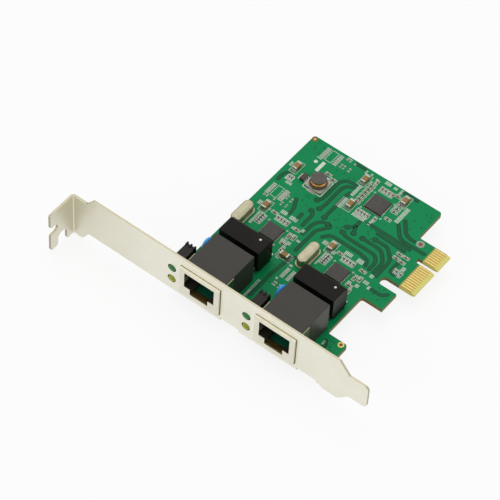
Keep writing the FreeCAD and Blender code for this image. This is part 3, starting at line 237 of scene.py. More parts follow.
print("a finish has", [name for name in vars(Finish) if name.islower() and name[0] != "_"])

# %% [markdown]
# ## The bracket
# Cold-rolled steel, nickel plated: a warm silver with a faint rolling grain along its
# length. The shears leave its cut edges duller and browner than its faces, so faces and
# edges are told apart by which way they look.

# %% Bracket steel
TAB_END, TAB_FRONT = 1.5 * MM, -1.5 * MM    # the folded tab's limits along X and Y
INSIDE, OUTSIDE = 0.01 * MM, 0.85 * MM      # just within the sheet's two faces
SHADE_REACH = 34 * MM       # how far the painted shade, darker and yellower, reaches from the tab


def bracket_steel():
    steel = Finish("bracket_steel", 0.36, 1.0)
    x, y, _ = steel.axes()
    _, across, up = (abs(part) for part in steel.axes(steel.true_normal()))
    plate_cut = (x > TAB_END) * (y > INSIDE) * (y < OUTSIDE) * (across < 0.5)
    tab_cut = (x < TAB_END) * (up > 0.5).larger((across > 0.7) * (y < TAB_FRONT))
    cut = plate_cut.larger(tab_cut)
    grain = steel.noise(0.25, 4.0, steel.stretched(0.05, 1.0, 1.0))
    cloud = steel.noise(9.0, 3.0)
    face = steel.mix(cloud, (228, 225, 209), (240, 238, 224))
    # painted shade: the face is darkened and yellowed towards the tab
    painted_shade = (1 - x * (1 / SHADE_REACH)).bounded()
    face = steel.mix(painted_shade * 0.5, face, (206, 201, 178))
    face = steel.mix((grain - 0.5).bounded() * 0.5, face, (208, 202, 182))
    # painted highlight: the rounded edges are lightened towards near white
    face = steel.mix(steel.edges(0.25) * 0.35, face, (246, 244, 234))
    steel.colour_from(steel.mix(cut * 0.85, face, (160, 153, 128)))
    steel.roughness_from(0.30 + grain * 0.12 + cloud * 0.06 + cut * 0.12)
    steel.relief(grain + cloud * 0.5, 0.004, 0.18)
    return steel.material


BRACKET_STEEL = bracket_steel()
print("made", BRACKET_STEEL.name)

# %% [markdown]
# ## Tinned, gilded and plated metal
# Solder and tinned ends are soft grey and slightly lumpy. Gold on the edge contacts is flat
# and pale, with the fine scratches that a slot leaves. The jack's shield is bright where it
# shows in the bracket's window; behind the bracket its colour is darkened as painted shade.
# One function makes all of them from two colours and a grain.

# %% Plated metals
def plated(name, light, dark, roughness, lump, depth, scratch=0.0, painted_shade_from=None):
    metal = Finish(name, roughness, 1.0)
    lumps = metal.noise(lump, 3.0)
    fine = metal.noise(lump * 0.2, 2.0)
    shade = metal.mix(lumps, light, dark)
    worn = metal.edges(0.06)
    shade = metal.mix(worn * 0.3, shade, light)
    height = lumps
    if scratch:
        lines = metal.noise(0.12, 2.0, metal.stretched(0.04, 1.0, 1.0))
        shade = metal.mix((lines > 0.62) * scratch, shade, dark)
        height = height + lines * 0.4
    # painted shade: the shield behind the bracket is darkened in its colour
    if painted_shade_from is not None:
        behind = metal.axes()[1] > painted_shade_from * MM
        shade = metal.mix(behind * 0.9, shade, (112, 112, 84))
    metal.colour_from(shade)
    metal.roughness_from(roughness - 0.08 + fine * 0.16 + lumps * 0.05)
    metal.relief(height, depth, 0.04)
    return metal.material


TIN = plated("tin", (180, 182, 172), (138, 138, 130), 0.42, 0.5, 0.012)
DULL_TIN = plated("dull_tin", (142, 146, 134), (104, 108, 98), 0.46, 0.6, 0.01)
SOLDER = plated("solder", (172, 172, 164), (126, 124, 116), 0.34, 0.8, 0.03)
GOLD = plated("gold_plate", (188, 168, 106), (166, 142, 78), 0.36, 1.2, 0.004, 0.4)
SPRING_GOLD = plated("spring_gold", (226, 190, 110), (186, 140, 64), 0.3, 0.6, 0.003)
SHIELD = plated("shield_plate", (236, 232, 216), (212, 208, 190), 0.33, 2.0, 0.006,
                painted_shade_from=1.1)
LINING = plated("keyway_lining", (250, 222, 140), (206, 176, 96), 0.3, 1.0, 0.006)
CAN = plated("crystal_can", (164, 160, 136), (138, 134, 110), 0.4, 2.5, 0.006)
print("metals:", [m.name for m in (TIN, DULL_TIN, SOLDER, GOLD, SPRING_GOLD, SHIELD,
                                   LINING, CAN)])

# %% [markdown]
# ## Moulded plastic and chip epoxy
# The jacks, the magnetics and the chips are black, but no two blacks are alike: glass-filled
# nylon shows a fine eggshell from the mould, epoxy is smoother with specks of filler, and a
# ferrite core is grainy like slate. The inductor's pale base and the tan and dark bodies of
# the chip parts are made by the same function.

# %% Moulded bodies
def moulded(name, body, worn, roughness, grain, depth, radius=0.15, specks=0.0, sheen=0.3):
    plastic = Finish(name, roughness, **{"Specular IOR Level": sheen})
    eggshell = plastic.noise(grain, 3.0)
    cloud = plastic.noise(5.0, 2.0)
    shade = plastic.mix(cloud * 0.5, body, worn)
    shade = plastic.mix(plastic.edges(radius) * 0.6, shade, worn)
    if specks:
        dots = plastic.noise(grain * 1.6, 1.0)
        shade = plastic.mix((dots > 0.66) * specks, shade, (150, 146, 138))
    plastic.colour_from(shade)
    plastic.roughness_from(roughness - 0.07 + eggshell * 0.1 + cloud * 0.06)
    plastic.relief(eggshell, depth, radius)
    return plastic.material


JACK = moulded("jack_plastic", (42, 40, 34), (58, 55, 48), 0.46, 0.16, 0.008, 0.2)
CASE = moulded("case_plastic", (15, 13, 11), (36, 32, 27), 0.36, 0.12, 0.006, 0.15, sheen=0.08)
HOLDER = moulded("holder_plastic", (24, 22, 20), (42, 39, 35), 0.5, 0.14, 0.006, 0.1, sheen=0.2)
# painted reflection: the board's green as it shows in the jack's cavity
JACK_PAINTED_REFLECTION = moulded("jack_painted_reflection", (8, 92, 66), (16, 104, 76), 0.4, 0.16, 0.006, 0.1)
EPOXY = moulded("chip_epoxy", (52, 49, 46), (82, 78, 73), 0.5, 0.14, 0.006, 0.1, 0.4)
FERRITE = moulded("ferrite", (78, 74, 70), (106, 100, 94), 0.66, 0.18, 0.02, 0.12, 0.35)
BASE = moulded("base_plastic", (166, 162, 148), (190, 186, 172), 0.5, 0.15, 0.006, 0.1, 0.2)
CERAMIC = moulded("capacitor_ceramic", (134, 100, 54), (168, 136, 84), 0.5, 0.12, 0.004,
                  0.06, 0.15)
GLAZE = moulded("resistor_glaze", (44, 42, 38), (96, 92, 82), 0.3, 0.12, 0.003, 0.05)
print("moulded:", [m.name for m in (JACK, CASE, HOLDER, JACK_PAINTED_REFLECTION, EPOXY, FERRITE, BASE,
                                    CERAMIC, GLAZE)])

# %% [markdown]
# The disc capacitors are dipped in blue epoxy, which pools into a glossy skin. The lights
# are tinted resin, so a little light goes through them. The copper winding has a clear
# enamel over it, which is why it looks orange and wet.

# %% Coats, lenses and enamel
def dipped(name, light, dark, roughness, lump, depth, metallic=0.0, **constants):
    coat = Finish(name, roughness, metallic, **constants)
    pooled = coat.noise(lump, 2.0)
    fine = coat.noise(lump * 0.15, 2.0)
    coat.colour_from(coat.mix(pooled, light, dark))
    coat.roughness_from(roughness + fine * 0.1 - 0.03)
    coat.relief(pooled + fine * 0.15, depth)
    return coat.material


DISC = dipped("disc_coat", (76, 186, 255), (46, 156, 250), 0.24, 1.6, 0.05,
              **{"Specular IOR Level": 0.35})
GREEN = dipped("green_lens", (38, 140, 56), (18, 100, 36), 0.2, 1.2, 0.02,
               **{"Transmission Weight": 0.15, "Specular IOR Level": 0.35})
YELLOW = dipped("yellow_lens", (176, 182, 24), (140, 148, 10), 0.2, 1.2, 0.02,
                **{"Transmission Weight": 0.15, "Specular IOR Level": 0.35})
COPPER = dipped("copper", (236, 176, 78), (180, 110, 36), 0.28, 0.7, 0.01, 0.9,
                **{"Coat Weight": 0.6})
print("coats:", [m.name for m in (DISC, GREEN, YELLOW, COPPER)])

# %% [markdown]
# ## The board
# Glass-epoxy laminate, brown where it was cut and green where the solder mask covers it.
# The mask is a glossy lacquer over copper, with the weave of the glass just visible in it.
# Round the edge contacts the mask stops, so the paler laminate shows between the fingers.

# %% Green mask over laminate
FINGERS_LOW = millimetres("edge_contacts")[0]
MASK_GAP = 0.4          # bare laminate between the mask and the edge contacts
FINGER_MARGIN = 1.2     # and beside the first contact
MASK_END = FINGERS_LOW.x - MASK_GAP
LACQUER = {"Specular IOR Level": 0.09}


def board_laminate():
    board = Finish("board_laminate", 0.3, 0.0, **LACQUER)
    x, y, _ = board.axes()
    up = abs(board.axes(board.true_normal())[2])
    flat = up > 0.95
    fingers = (x > MASK_END * MM) * (y > (FINGERS_LOW.y - FINGER_MARGIN) * MM)
    masked = flat * (1 - fingers)
    weave = (board.noise(0.5, 1.0, board.stretched(1.0, 0.12, 1.0))
             + board.noise(0.5, 1.0, board.stretched(0.12, 1.0, 1.0)))
    green = board.mix(board.noise(14.0, 3.0), (0, 128, 73), (8, 140, 84))
    green = board.mix((weave - 0.9).bounded() * 0.2, green, (50, 150, 96))
    cut = board.mix(board.noise(0.3, 2.0, board.stretched(0.2, 0.2, 6.0)),
                    (112, 102, 62), (146, 134, 90))
    cut = board.mix(fingers, cut, (222, 214, 126))
    cut = board.mix(fingers * flat, cut, (168, 154, 84))
    board.colour_from(board.mix(masked, cut, green))
    board.roughness_from(0.62 - masked * 0.28 + weave * 0.05)
    board.relief(weave, 0.006)
    return board.material


BOARD = board_laminate()


def mask_shade(name, light, dark, roughness):
    mask = Finish(name, roughness, 0.0, **LACQUER)
    cloud = mask.noise(3.0, 3.0)
    mask.colour_from(mask.mix(cloud, light, dark))
    mask.roughness_from(roughness + cloud * 0.1)
    mask.relief(mask.noise(0.4, 2.0), 0.004)
    return mask.material


BARE_MASK = mask_shade("mask_over_laminate", (30, 88, 58), (20, 76, 50), 0.34)
TRACE_MASK = mask_shade("mask_over_trace", (26, 106, 66), (18, 96, 58), 0.3)
PRINT = mask_shade("white_print", (226, 232, 220), (196, 208, 192), 0.55)
LAMINATE = mask_shade("bare_laminate", (140, 104, 78), (120, 90, 66), 0.6)
print("mask ends at", round(MASK_END, 2), "mm, before the edge contacts")

# %% [markdown]
# ## Giving the finishes out
# Every CAD node comes with a plain material that is named after its slot. A table from slot
# to finish therefore dresses the whole card at once, and a slot that's missing from it would
# stop the script.

# %% Slots to finishes
SLOTS = {
    "bracket_steel": BRACKET_STEEL, "tin": TIN, "board_laminate": BOARD, "gold_plate": GOLD,
    "jack_plastic": JACK, "shield_plate": SHIELD, "spring_gold": SPRING_GOLD,
    "case_plastic": CASE, "holder_plastic": HOLDER, "green_lens": GREEN,
    "yellow_lens": YELLOW, "crystal_can": CAN, "disc_coat": DISC, "chip_epoxy": EPOXY,
    "ferrite": FERRITE, "copper": COPPER, "base_plastic": BASE,
    "capacitor_ceramic": CERAMIC, "resistor_glaze": GLAZE,
}
for node in NODES.values():
    slot = node.data.materials[0].name.split(".")[0]
    node.data.materials.clear()
    node.data.materials.append(SLOTS[slot])
print(len(NODES), "pieces dressed with", len(SLOTS), "finishes")

# %% [markdown]
# ## Making pieces
# The added pieces are all meshes of a few kinds: flat shapes with a little thickness, turned
# shapes, and ribbons that follow a path. Each helper adds one closed shape to a bmesh, so a
# whole family, such as all the solder pads, becomes one piece.

# %% Shapes in a bmesh
def ring(bm, points, height):
    """Corners at one height over points in the plane of the board."""
    return [bm.verts.new((x * MM, y * MM, height * MM)) for x, y in points]


def walls(bm, rings):
    """Faces from each ring to the next. A ring may be a single point."""
    for low, high in zip(rings, rings[1:]):
        steps = max(len(low), len(high))
        for i in range(steps):
            j = (i + 1) % steps
            corners = (low[i % len(low)], low[j % len(low)],
                       high[j % len(high)], high[i % len(high)])
            bm.faces.new(list(dict.fromkeys(corners)))


def closed(bm, rings):
    walls(bm, rings)
    if len(rings[0]) > 1:
        bm.faces.new(reversed(rings[0]))
    if len(rings[-1]) > 1:
        bm.faces.new(rings[-1])


def lay(place, axis, u, v, height):
    """A point that's (u, v) across an axis and `height` along it, as metres."""
    offset = {"X": (height, u, v), "Y": (v, height, u), "Z": (u, v, height)}[axis]
    return Vector([(a + b) * MM for a, b in zip(place, offset)])


def turned(bm, profile, place, steps=24, axis="Z", hollow=False):
    """Turns (radius, height) pairs about an axis through the place, in millimetres."""
    rings = []
    for radius, height in profile:
        angles = [2 * math.pi * i / steps for i in range(steps if radius > 1e-6 else 1)]
        rings.append([bm.verts.new(lay(place, axis, radius * math.cos(angle),
                                       radius * math.sin(angle), height)) for angle in angles])
    if hollow:
        walls(bm, rings + rings[:1])
    else:
        closed(bm, rings)


def prism(bm, corners, low, high):
    """A flat plate over the corners, which run anticlockwise."""
    closed(bm, [ring(bm, corners, low), ring(bm, corners, high)])


print("helpers: ring, walls, closed, turned, prism")

# %% [markdown]
# Most of the added shapes are thin and lie on the board. They have a thickness, and a height
# only where they lie on something else.

# %% Thin shapes on the board
def slab(bm, x0, x1, y0, y1, thick, low=BOARD_TOP):
    prism(bm, ((x0, y0), (x1, y0), (x1, y1), (x0, y1)), low, low + thick)


def disc(bm, x, y, radius, thick, steps=24, low=BOARD_TOP):
    turned(bm, [(radius, low), (radius, low + thick)], (x, y, 0), steps)


def washer(bm, x, y, inner, outer, thick, steps=24, low=BOARD_TOP):
    high = low + thick
    turned(bm, [(inner, low), (outer, low), (outer, high), (inner, high)], (x, y, 0), steps,
           hollow=True)


BEND = 1.5          # where a path starts to turn, ahead of its corner


def eased(path):
    """The path with each corner cut by a short curve, the way copper is routed."""
    path = [Vector(point) for point in path]
    points = path[:1]
    for before, corner, after in zip(path, path[1:], path[2:]):
        reach = min(BEND, (before - corner).length / 2.1, (after - corner).length / 2.1)
        start = corner + (before - corner).normalized() * reach
        end = corner + (after - corner).normalized() * reach
        for i in range(5):
            t = i / 4
            points.append(start * (1 - t) ** 2 + corner * 2 * t * (1 - t) + end * t * t)
    return points + path[-1:]


def ribbon(bm, path, wide, thick):
    """A flat ribbon with round ends along a path."""
    points = eased(path)
    left, right = [], []
    for i, point in enumerate(points):
        ahead = points[min(i + 1, len(points) - 1)] - points[max(i - 1, 0)]
        side = Vector((-ahead.y, ahead.x)).normalized() * wide / 2
        left.append(point + side)
        right.append(point - side)
    caps = []
    for tip, inner in ((points[-1], points[-2]), (points[0], points[1])):
        towards = tip - inner
        angle = math.atan2(towards.y, towards.x)
        caps.append([tip + Vector((math.cos(angle + turn), math.sin(angle + turn))) * wide / 2
                     for turn in (-1.0, -0.5, 0.0, 0.5, 1.0)])
    outline = [tuple(point) for point in right + caps[0] + left[::-1] + caps[1]]
    prism(bm, outline, BOARD_TOP, BOARD_TOP + thick)


print("helpers: slab, disc, washer, ribbon, on the board at", round(BOARD_TOP, 2))

# %% [markdown]
# A piece joins the card by riding on its one body, and carries its finish. Turned shapes are
# shaded smooth by angle so that a rim stays crisp.

# %% From bmesh to piece
def piece(name, bm, finish, stands_for=(), smooth=None):
    bmesh.ops.recalc_face_normals(bm, faces=bm.faces)
    mesh = bpy.data.meshes.new(name)
    bm.to_mesh(mesh)
    bm.free()
    made = bpy.data.objects.new(name, mesh)
    scene.collection.objects.link(made)
    mesh.materials.append(finish)
    if smooth is not None:
        mesh.shade_smooth()
        mesh.set_sharp_from_angle(angle=math.radians(smooth))
    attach(made, "root")
    if stands_for:
        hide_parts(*stands_for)
    print(name, len(mesh.polygons), "faces")

# %% [markdown]
# Many details sit beside something that CAD already placed: a pad under each pin, solder on
# each end. So their places are measured. A CAD node can hold many separate solids, and this
# helper gives the box of each, by joining faces that share a corner.

# %% The separate solids of a node
def solids(node):
    mesh = NODES[node].data
    keys = [tuple(round(c / MM, 3) for c in vertex.co) for vertex in mesh.vertices]
    leader = {}

    def find(key):
        while leader.setdefault(key, key) != key:
            leader[key] = leader[leader[key]]
            key = leader[key]
        return key

    for face in mesh.polygons:
        first = find(keys[face.vertices[0]])
        for index in face.vertices[1:]:
            leader[find(keys[index])] = first
    groups = {}
    for key in set(keys):
        groups.setdefault(find(key), []).append(key)
    found = []
    for points in groups.values():
        low = Vector([min(p[a] for p in points) for a in range(3)])
        high = Vector([max(p[a] for p in points) for a in range(3)])
        found.append((low, high, points))
    return sorted(found, key=lambda item: tuple(item[0]) + tuple(item[1]))


def tips(node):
    """Where each lead of a node ends under the board."""
    ends = []
    for low, _, points in solids(node):
        for point in sorted(points):
            if point[2] < low.z + 0.02 and low.z < BOARD_LOW - 0.3:
                near = [e for e in ends if (Vector(point[:2]) - e[0] / e[1]).length < 0.75]
                if near:
                    near[0][0] += Vector(point[:2])
                    near[0][1] += 1
                else:
                    ends.append([Vector(point[:2]), 1, low.z])
    return [(e[0].x / e[1], e[0].y / e[1], e[2]) for e in ends]


print("the first jack's contacts end at", [(round(x, 1), round(y, 1))
                                           for x, y, _ in tips("jack_contacts_1")])

# %% [markdown]
# ## Copper under the mask
# Where the copper is etched away the mask lies on bare laminate and looks darker. The card
# has wide dark channels, each with a trace down its middle, that run from the switch chip
# to the controllers and the connector. They're ribbons a few hundredths of a millimetre
# thick, laid on each other in layers so that no two faces share a place.

# %% Channels and traces
CHANNELS = [
    [(56.6, 58.0), (57.7, 59.6), (57.7, 69.0), (59.2, 71.2), (63.2, 71.6)],
    [(59.4, 55.6), (59.9, 57.5), (59.9, 67.4), (61.2, 69.6), (63.2, 70.0)],
    [(62.9, 53.6), (62.9, 66.2), (63.4, 67.6)],
    [(57.9, 53.2), (59.2, 52.4), (59.3, 46.4)],
    [(65.6, 52.0), (63.4, 51.8), (61.6, 49.0), (61.6, 43.6)],
    [(66.5, 51.4), (65.6, 49.4), (64.0, 47.4), (63.9, 36.5)],
    [(67.3, 46.6), (69.0, 49.0), (81.0, 49.0), (84.6, 48.2), (85.3, 46.0)],
    [(71.3, 52.4), (73.6, 51.6), (85.2, 51.6), (87.1, 49.4), (87.1, 45.6)],
    [(77.9, 54.6), (85.6, 54.5), (89.0, 50.8), (89.0, 45.4)],
    [(81.5, 56.8), (86.4, 56.9), (90.4, 53.0), (90.6, 44.8)],
    [(75.6, 60.9), (86.4, 60.9), (92.6, 60.6)],
    [(80.6, 59.3), (87.0, 59.2), (91.6, 59.0)],
    [(84.4, 69.6), (87.9, 65.2), (90.0, 64.4), (91.8, 64.4)],
    [(83.6, 66.9), (87.2, 62.6), (89.6, 62.1), (97.4, 62.2)],
    [(73.0, 59.8), (73.2, 57.2), (71.2, 55.2)],
    [(73.2, 57.2), (74.3, 54.4)],
    [(76.6, 79.2), (82.6, 79.1)],
    [(57.6, 79.2), (61.0, 79.1)],
    [(51.0, 54.0), (52.9, 50.0), (53.0, 47.6)],
    [(56.3, 50.0), (56.4, 46.8)],
    [(94.9, 49.0), (93.0, 49.0), (92.9, 53.4)],
    [(66.6, 34.6), (64.6, 33.4), (63.6, 24.0), (63.6, 12.6)],
    [(41.0, 57.0), (41.0, 60.4), (42.4, 61.8)],
    [(92.6, 39.4), (96.4, 39.4), (98.0, 41.0)],
    [(93.4, 13.6), (94.4, 12.4), (94.4, 9.4)],
]
LOBES = [(56.6, 58.0), (57.9, 53.2), (66.5, 51.4), (71.3, 52.5), (77.9, 54.6), (81.5, 56.8),
         (59.4, 55.6), (62.9, 53.6), (65.6, 52.0), (74.3, 54.4), (71.2, 55.2)]
CHANNEL, TRACE = 1.45, 0.32     # widths
LOBE = 1.15                     # radius of the patch where a channel ends
LAYER = 0.018

bm = bmesh.new()
for path in CHANNELS:
    ribbon(bm, path, CHANNEL, LAYER)
for x, y in LOBES:
    disc(bm, x, y, LOBE, LAYER * 0.97, 20)
piece("mask_channels", bm, BARE_MASK)

bm = bmesh.new()
for path in CHANNELS:
    ribbon(bm, path, TRACE, 2 * LAYER)
for x, y in LOBES:
    washer(bm, x, y, 0.22, 0.5, 2.2 * LAYER, 16)
piece("board_traces", bm, TRACE_MASK)

# %% [markdown]
# ## Pads
# Bare copper pads are tinned. Some wait for parts that this version of the card doesn't
# carry, and stand in rows. The others lie under the metal ends and pins, so they're
# measured from the CAD solids and stand out a little further than the part.

# %% Pads for parts that aren't fitted
ROWS = [
    # middle of the first pad, step, how many, pad length along X and along Y
    ((41.65, 54.3), (0, -0.95), 5, 1.5, 0.5),
    ((46.9, 54.3), (0, -0.95), 5, 1.9, 0.5),
    ((46.55, 78.2), (0, -0.95), 5, 1.7, 0.5),
    ((51.75, 78.2), (0, -0.95), 5, 1.6, 0.5),
    ((66.9, 28.7), (0, -0.85), 5, 1.3, 0.42),
    ((69.2, 28.7), (0, -0.85), 5, 1.3, 0.42),
    ((66.9, 21.9), (0, -1.15), 2, 1.4, 0.6),
    ((68.9, 21.9), (0, -1.15), 2, 1.0, 0.6),
    ((53.9, 78.6), (1.3, 0), 2, 0.8, 0.8),
    ((57.2, 78.6), (1.3, 0), 1, 0.8, 0.8),
    ((53.9, 75.7), (1.2, 0), 2, 0.75, 0.9),
    ((53.9, 74.5), (1.2, 0), 2, 0.75, 0.6),
    ((57.2, 75.9), (0, -1.2), 2, 0.9, 0.7),
    ((48.4, 53.3), (0, -1.2), 2, 0.7, 0.8),
    ((50.2, 53.0), (0, -1.2), 2, 0.8, 0.7),
    ((50.2, 50.0), (0, -1.0), 2, 0.7, 0.6),
    ((48.4, 49.9), (0, -1.1), 2, 0.7, 0.7),
    ((41.5, 49.0), (1.1, 0), 2, 0.7, 1.2),
    ((45.4, 49.2), (1.1, 0), 1, 0.7, 1.0),
]
PAD = 0.045         # how far a pad stands above the board

bm = bmesh.new()
for (x, y), (step_x, step_y), count, along_x, along_y in ROWS:
    for i in range(count):
        cx, cy = x + i * step_x, y + i * step_y
        slab(bm, cx - along_x / 2, cx + along_x / 2, cy - along_y / 2, cy + along_y / 2, PAD)
piece("empty_pads", bm, DULL_TIN)

# %% [markdown]
# Solder climbs the metal end of a chip part as a hollow wedge. The wedge is a mesh of seven
# faces: it starts high on the end, curves down by one fold, and runs out to the pad's edge.

# %% Wedges of solder
def outward(low, high, bodies):
    """Which way a metal end looks from the nearest body."""
    middle = (low + high) / 2
    nearest = min(((b[0] + b[1]) / 2 for b in bodies), key=lambda c: (c - middle).length)
    away = middle - nearest
    if abs(away.x) > abs(away.y):
        return Vector((math.copysign(1, away.x), 0))
    return Vector((0, math.copysign(1, away.y)))


def wedge(bm, low, high, way, reach, rise):
    """A wedge of solder from the pad up the end of a part."""
    side = Vector((-way.y, way.x))
    middle = Vector(((low.x + high.x) / 2, (low.y + high.y) / 2))
    half_way = abs((high - low).xy.dot(way)) / 2
    half_side = abs((high - low).xy.dot(side)) / 2
    face = middle + way * (half_way - 0.02)
    points = []
    for out, height, spread in ((0, rise, 0.92), (reach * 0.35, rise * 0.42, 1.0),
                                (reach, PAD, 1.12), (0, 0, 1.0), (reach, 0, 1.12)):
        for sign in (-1, 1):
            at = face + way * out + side * sign * half_side * spread
            points.append(bm.verts.new((at.x * MM, at.y * MM, (BOARD_TOP + height) * MM)))
    a, b, c, d, e, f, g, h, k, m = points
    for loop in ((a, b, d, c), (c, d, f, e), (e, f, m, k), (g, h, b, a), (k, m, h, g),
                 (g, a, c, e, k), (h, m, f, d, b)):
        bm.faces.new(loop)


first_end = solids("chip_capacitor_ends")[0]
print("the first metal end looks along",
      tuple(outward(*first_end[:2], solids("chip_capacitors"))))

# %% [markdown]
# A metal end's pad runs out under its solder. The flat feet of the magnetics' pins, the
# regulator's pins and the inductor's terminals have a pad that shows a little all round.

# %% Pads and solder under the fitted parts
ENDED = [   # bodies, their metal ends, how far the solder runs out
    ("chip_capacitors", "chip_capacitor_ends", 0.36),
    ("chip_resistors", "chip_resistor_ends", 0.36),
    ("large_capacitors", "large_capacitor_ends", 0.5)]
PAD_SIDE, PAD_REACH = 0.1, 1.15     # beside a metal end, and as a share of the solder
CLIMB = 0.72                        # how far up an end the solder climbs, as a share
FOOT, TOE, BESIDE = 1.15, 0.35, 0.14    # a magnetics pad behind, before and beside its pin
FLAT = [    # pins and terminals, how much their pads show along X and along Y
    ("regulator_pins", 0.25, 0.12), ("inductor_terminals", 0.3, 0.35)]

pads, joints = bmesh.new(), bmesh.new()
for body, ends, reach in ENDED:
    bodies = solids(body)
    for low, high, _ in solids(ends):
        way = outward(low, high, bodies)
        x0, x1 = low.x - abs(way.y) * PAD_SIDE, high.x + abs(way.y) * PAD_SIDE
        y0, y1 = low.y - abs(way.x) * PAD_SIDE, high.y + abs(way.x) * PAD_SIDE
        out = way * reach * PAD_REACH
        slab(pads, min(x0, x0 + out.x), max(x1, x1 + out.x),
             min(y0, y0 + out.y), max(y1, y1 + out.y), PAD)
        wedge(joints, low, high, way, reach, (high.z - BOARD_TOP) * CLIMB)
for node in ("magnetics_pins_1", "magnetics_pins_2"):
    node_low, node_high = millimetres(node)
    for low, high, _ in solids(node):
        away = 1 if low.y + high.y > node_low.y + node_high.y else -1
        tip = high.y if away > 0 else low.y
        y0, y1 = sorted((tip + TOE * away, tip - FOOT * away))
        slab(pads, low.x - BESIDE, high.x + BESIDE, y0, y1, PAD)
for node, x_margin, y_margin in FLAT:
    for low, high, _ in solids(node):
        slab(pads, low.x - x_margin, high.x + x_margin, low.y - y_margin, high.y + y_margin, PAD)
piece("part_pads", pads, TIN)
piece("part_solder", joints, SOLDER, smooth=50)

# %% [markdown]
# ## Chip contacts
# The three chips have no legs. Their contacts are short tinned pads that peek out from under
# the body on all four sides, and read as a pale broken line.

# %% Rows of contacts round the chips
CONTACT_PITCH, CONTACT_WIDE, CONTACT_THICK = 0.4, 0.24, 0.09
CONTACT_HIDDEN = 0.3    # length under the chip


def chip_leads(name, node, count, reach):
    low, high = millimetres(node)
    cx, cy = (low.x + high.x) / 2, (low.y + high.y) / 2
    half, side = (high.x - low.x) / 2, CONTACT_WIDE / 2
    bm = bmesh.new()
    for i in range(count):
        along = (i - (count - 1) / 2) * CONTACT_PITCH
        for sign in (-1, 1):
            a, b = sorted((sign * (half - CONTACT_HIDDEN), sign * (half + reach)))
            slab(bm, cx + a, cx + b, cy + along - side, cy + along + side, CONTACT_THICK)
            slab(bm, cx + along - side, cx + along + side, cy + a, cy + b, CONTACT_THICK)
    piece(name, bm, TIN)


chip_leads("switch_chip_leads", "switch_chip", 15, 0.45)
chip_leads("ethernet_leads_1", "ethernet_chip_1", 13, 0.4)
chip_leads("ethernet_leads_2", "ethernet_chip_2", 13, 0.4)

# %% [markdown]
# A pin-one dimple is pressed into a corner of each chip by the mould. Cutting it would change
# the chip's solid, so its rim is drawn as a thin ring just proud of the epoxy.

# %% Dimples on the chips
CHIPS = ("switch_chip", "ethernet_chip_1", "ethernet_chip_2")
FROM_CORNER = 0.85

bm = bmesh.new()
for node in CHIPS:
    low, high = millimetres(node)
    washer(bm, low.x + FROM_CORNER, high.y - FROM_CORNER, 0.3, 0.36, 0.012, low=high.z)
piece("chip_dimples", bm, GLAZE)

# %% [markdown]
# ## White printing
# Parts have a printed frame, and references stand between them. The references on this model
# are plain rows of bars with no letters.

# %% Printed lines and bars
INK = 0.03
LINE, FRAME_LINE = 0.16, 0.15       # widths
BAR, BAR_PITCH = 0.27, 0.5


def frame_lines(bm, x0, x1, y0, y1, wide=LINE):
    for y in (y0, y1):
        slab(bm, x0, x1, y - wide / 2, y + wide / 2, INK)
    for x in (x0, x1):
        slab(bm, x - wide / 2, x + wide / 2, y0, y1, INK)


def bars(bm, x0, x1, y0, y1):
    """Short printed bars that fill a box, across its longer side."""
    along_x = x1 - x0 > y1 - y0
    start, end = (x0, x1) if along_x else (y0, y1)
    for i in range(int((end - start) / BAR_PITCH)):
        middle = start + (i + 0.5) * BAR_PITCH
        a, b = middle - BAR / 2, middle + BAR / 2
        slab(bm, *((a, b, y0, y1) if along_x else (x0, x1, a, b)), INK)


print("ink stands", INK, "mm above the mask")

# %% [markdown]
# Each reference fills a box beside its part. Bars are printed between the pads of the long
# rows too.

# %% References
BLOCKS = [
    (63.6, 64.9, 66.9, 72.4), (62.5, 64.5, 60.2, 65.6), (81.6, 83.2, 67.0, 74.8),
    (68.9, 73.9, 60.3, 62.2), (75.4, 76.4, 60.2, 64.8), (95.1, 96.5, 49.6, 53.6),
    (90.4, 91.6, 56.6, 58.0), (91.3, 92.5, 54.2, 55.6), (68.6, 70.6, 44.4, 46.2),
    (76.8, 80.2, 45.6, 47.2), (81.8, 84.5, 45.4, 47.2), (88.8, 90.2, 43.0, 44.5),
    (69.6, 72.2, 78.2, 79.6), (73.2, 75.0, 78.2, 79.4), (75.8, 76.8, 76.8, 80.0),
    (61.8, 62.5, 77.6, 79.2), (63.9, 64.6, 77.6, 79.2), (42.3, 45.6, 58.6, 60.9),
    (43.6, 46.2, 57.3, 58.4), (41.8, 43.8, 44.4, 46.2), (50.2, 53.0, 46.0, 47.6),
    (54.0, 57.2, 45.8, 47.4), (60.4, 61.8, 43.8, 45.6), (40.0, 41.0, 64.2, 66.2),
    (84.8, 86.8, 40.0, 41.2), (91.0, 92.0, 38.6, 40.2), (57.8, 59.8, 40.4, 41.4),
    (84.6, 86.4, 36.4, 37.8), (57.4, 59.4, 36.6, 38.0), (60.4, 61.6, 30.0, 32.6),
    (66.0, 67.2, 30.0, 31.4), (65.6, 67.0, 23.0, 24.0), (62.0, 62.8, 11.4, 14.6),
    (93.0, 93.8, 11.6, 13.6), (53.6, 55.6, 79.2, 79.7), (45.2, 47.6, 72.9, 73.5),
    (66.4, 67.6, 77.4, 78.6), (76.4, 77.4, 66.0, 68.4), (77.9, 78.4, 70.0, 76.6),
    (57.0, 58.4, 43.0, 44.4), (46.2, 47.6, 44.4, 45.4), (44.6, 45.6, 36.0, 42.4),
    (71.8, 72.5, 36.0, 42.4), (73.4, 74.8, 43.0, 44.6), (59.6, 61.2, 36.6, 38.4),
    (87.4, 88.8, 36.8, 38.6), (88.6, 90.6, 39.8, 41.2), (61.6, 63.0, 39.6, 41.0),
    (93.4, 94.4, 49.8, 51.8), (65.7, 66.4, 75.0, 76.8), (62.6, 64.4, 73.4, 74.4),
]
LONG_ROW = 5        # pads in the rows that have bars between them

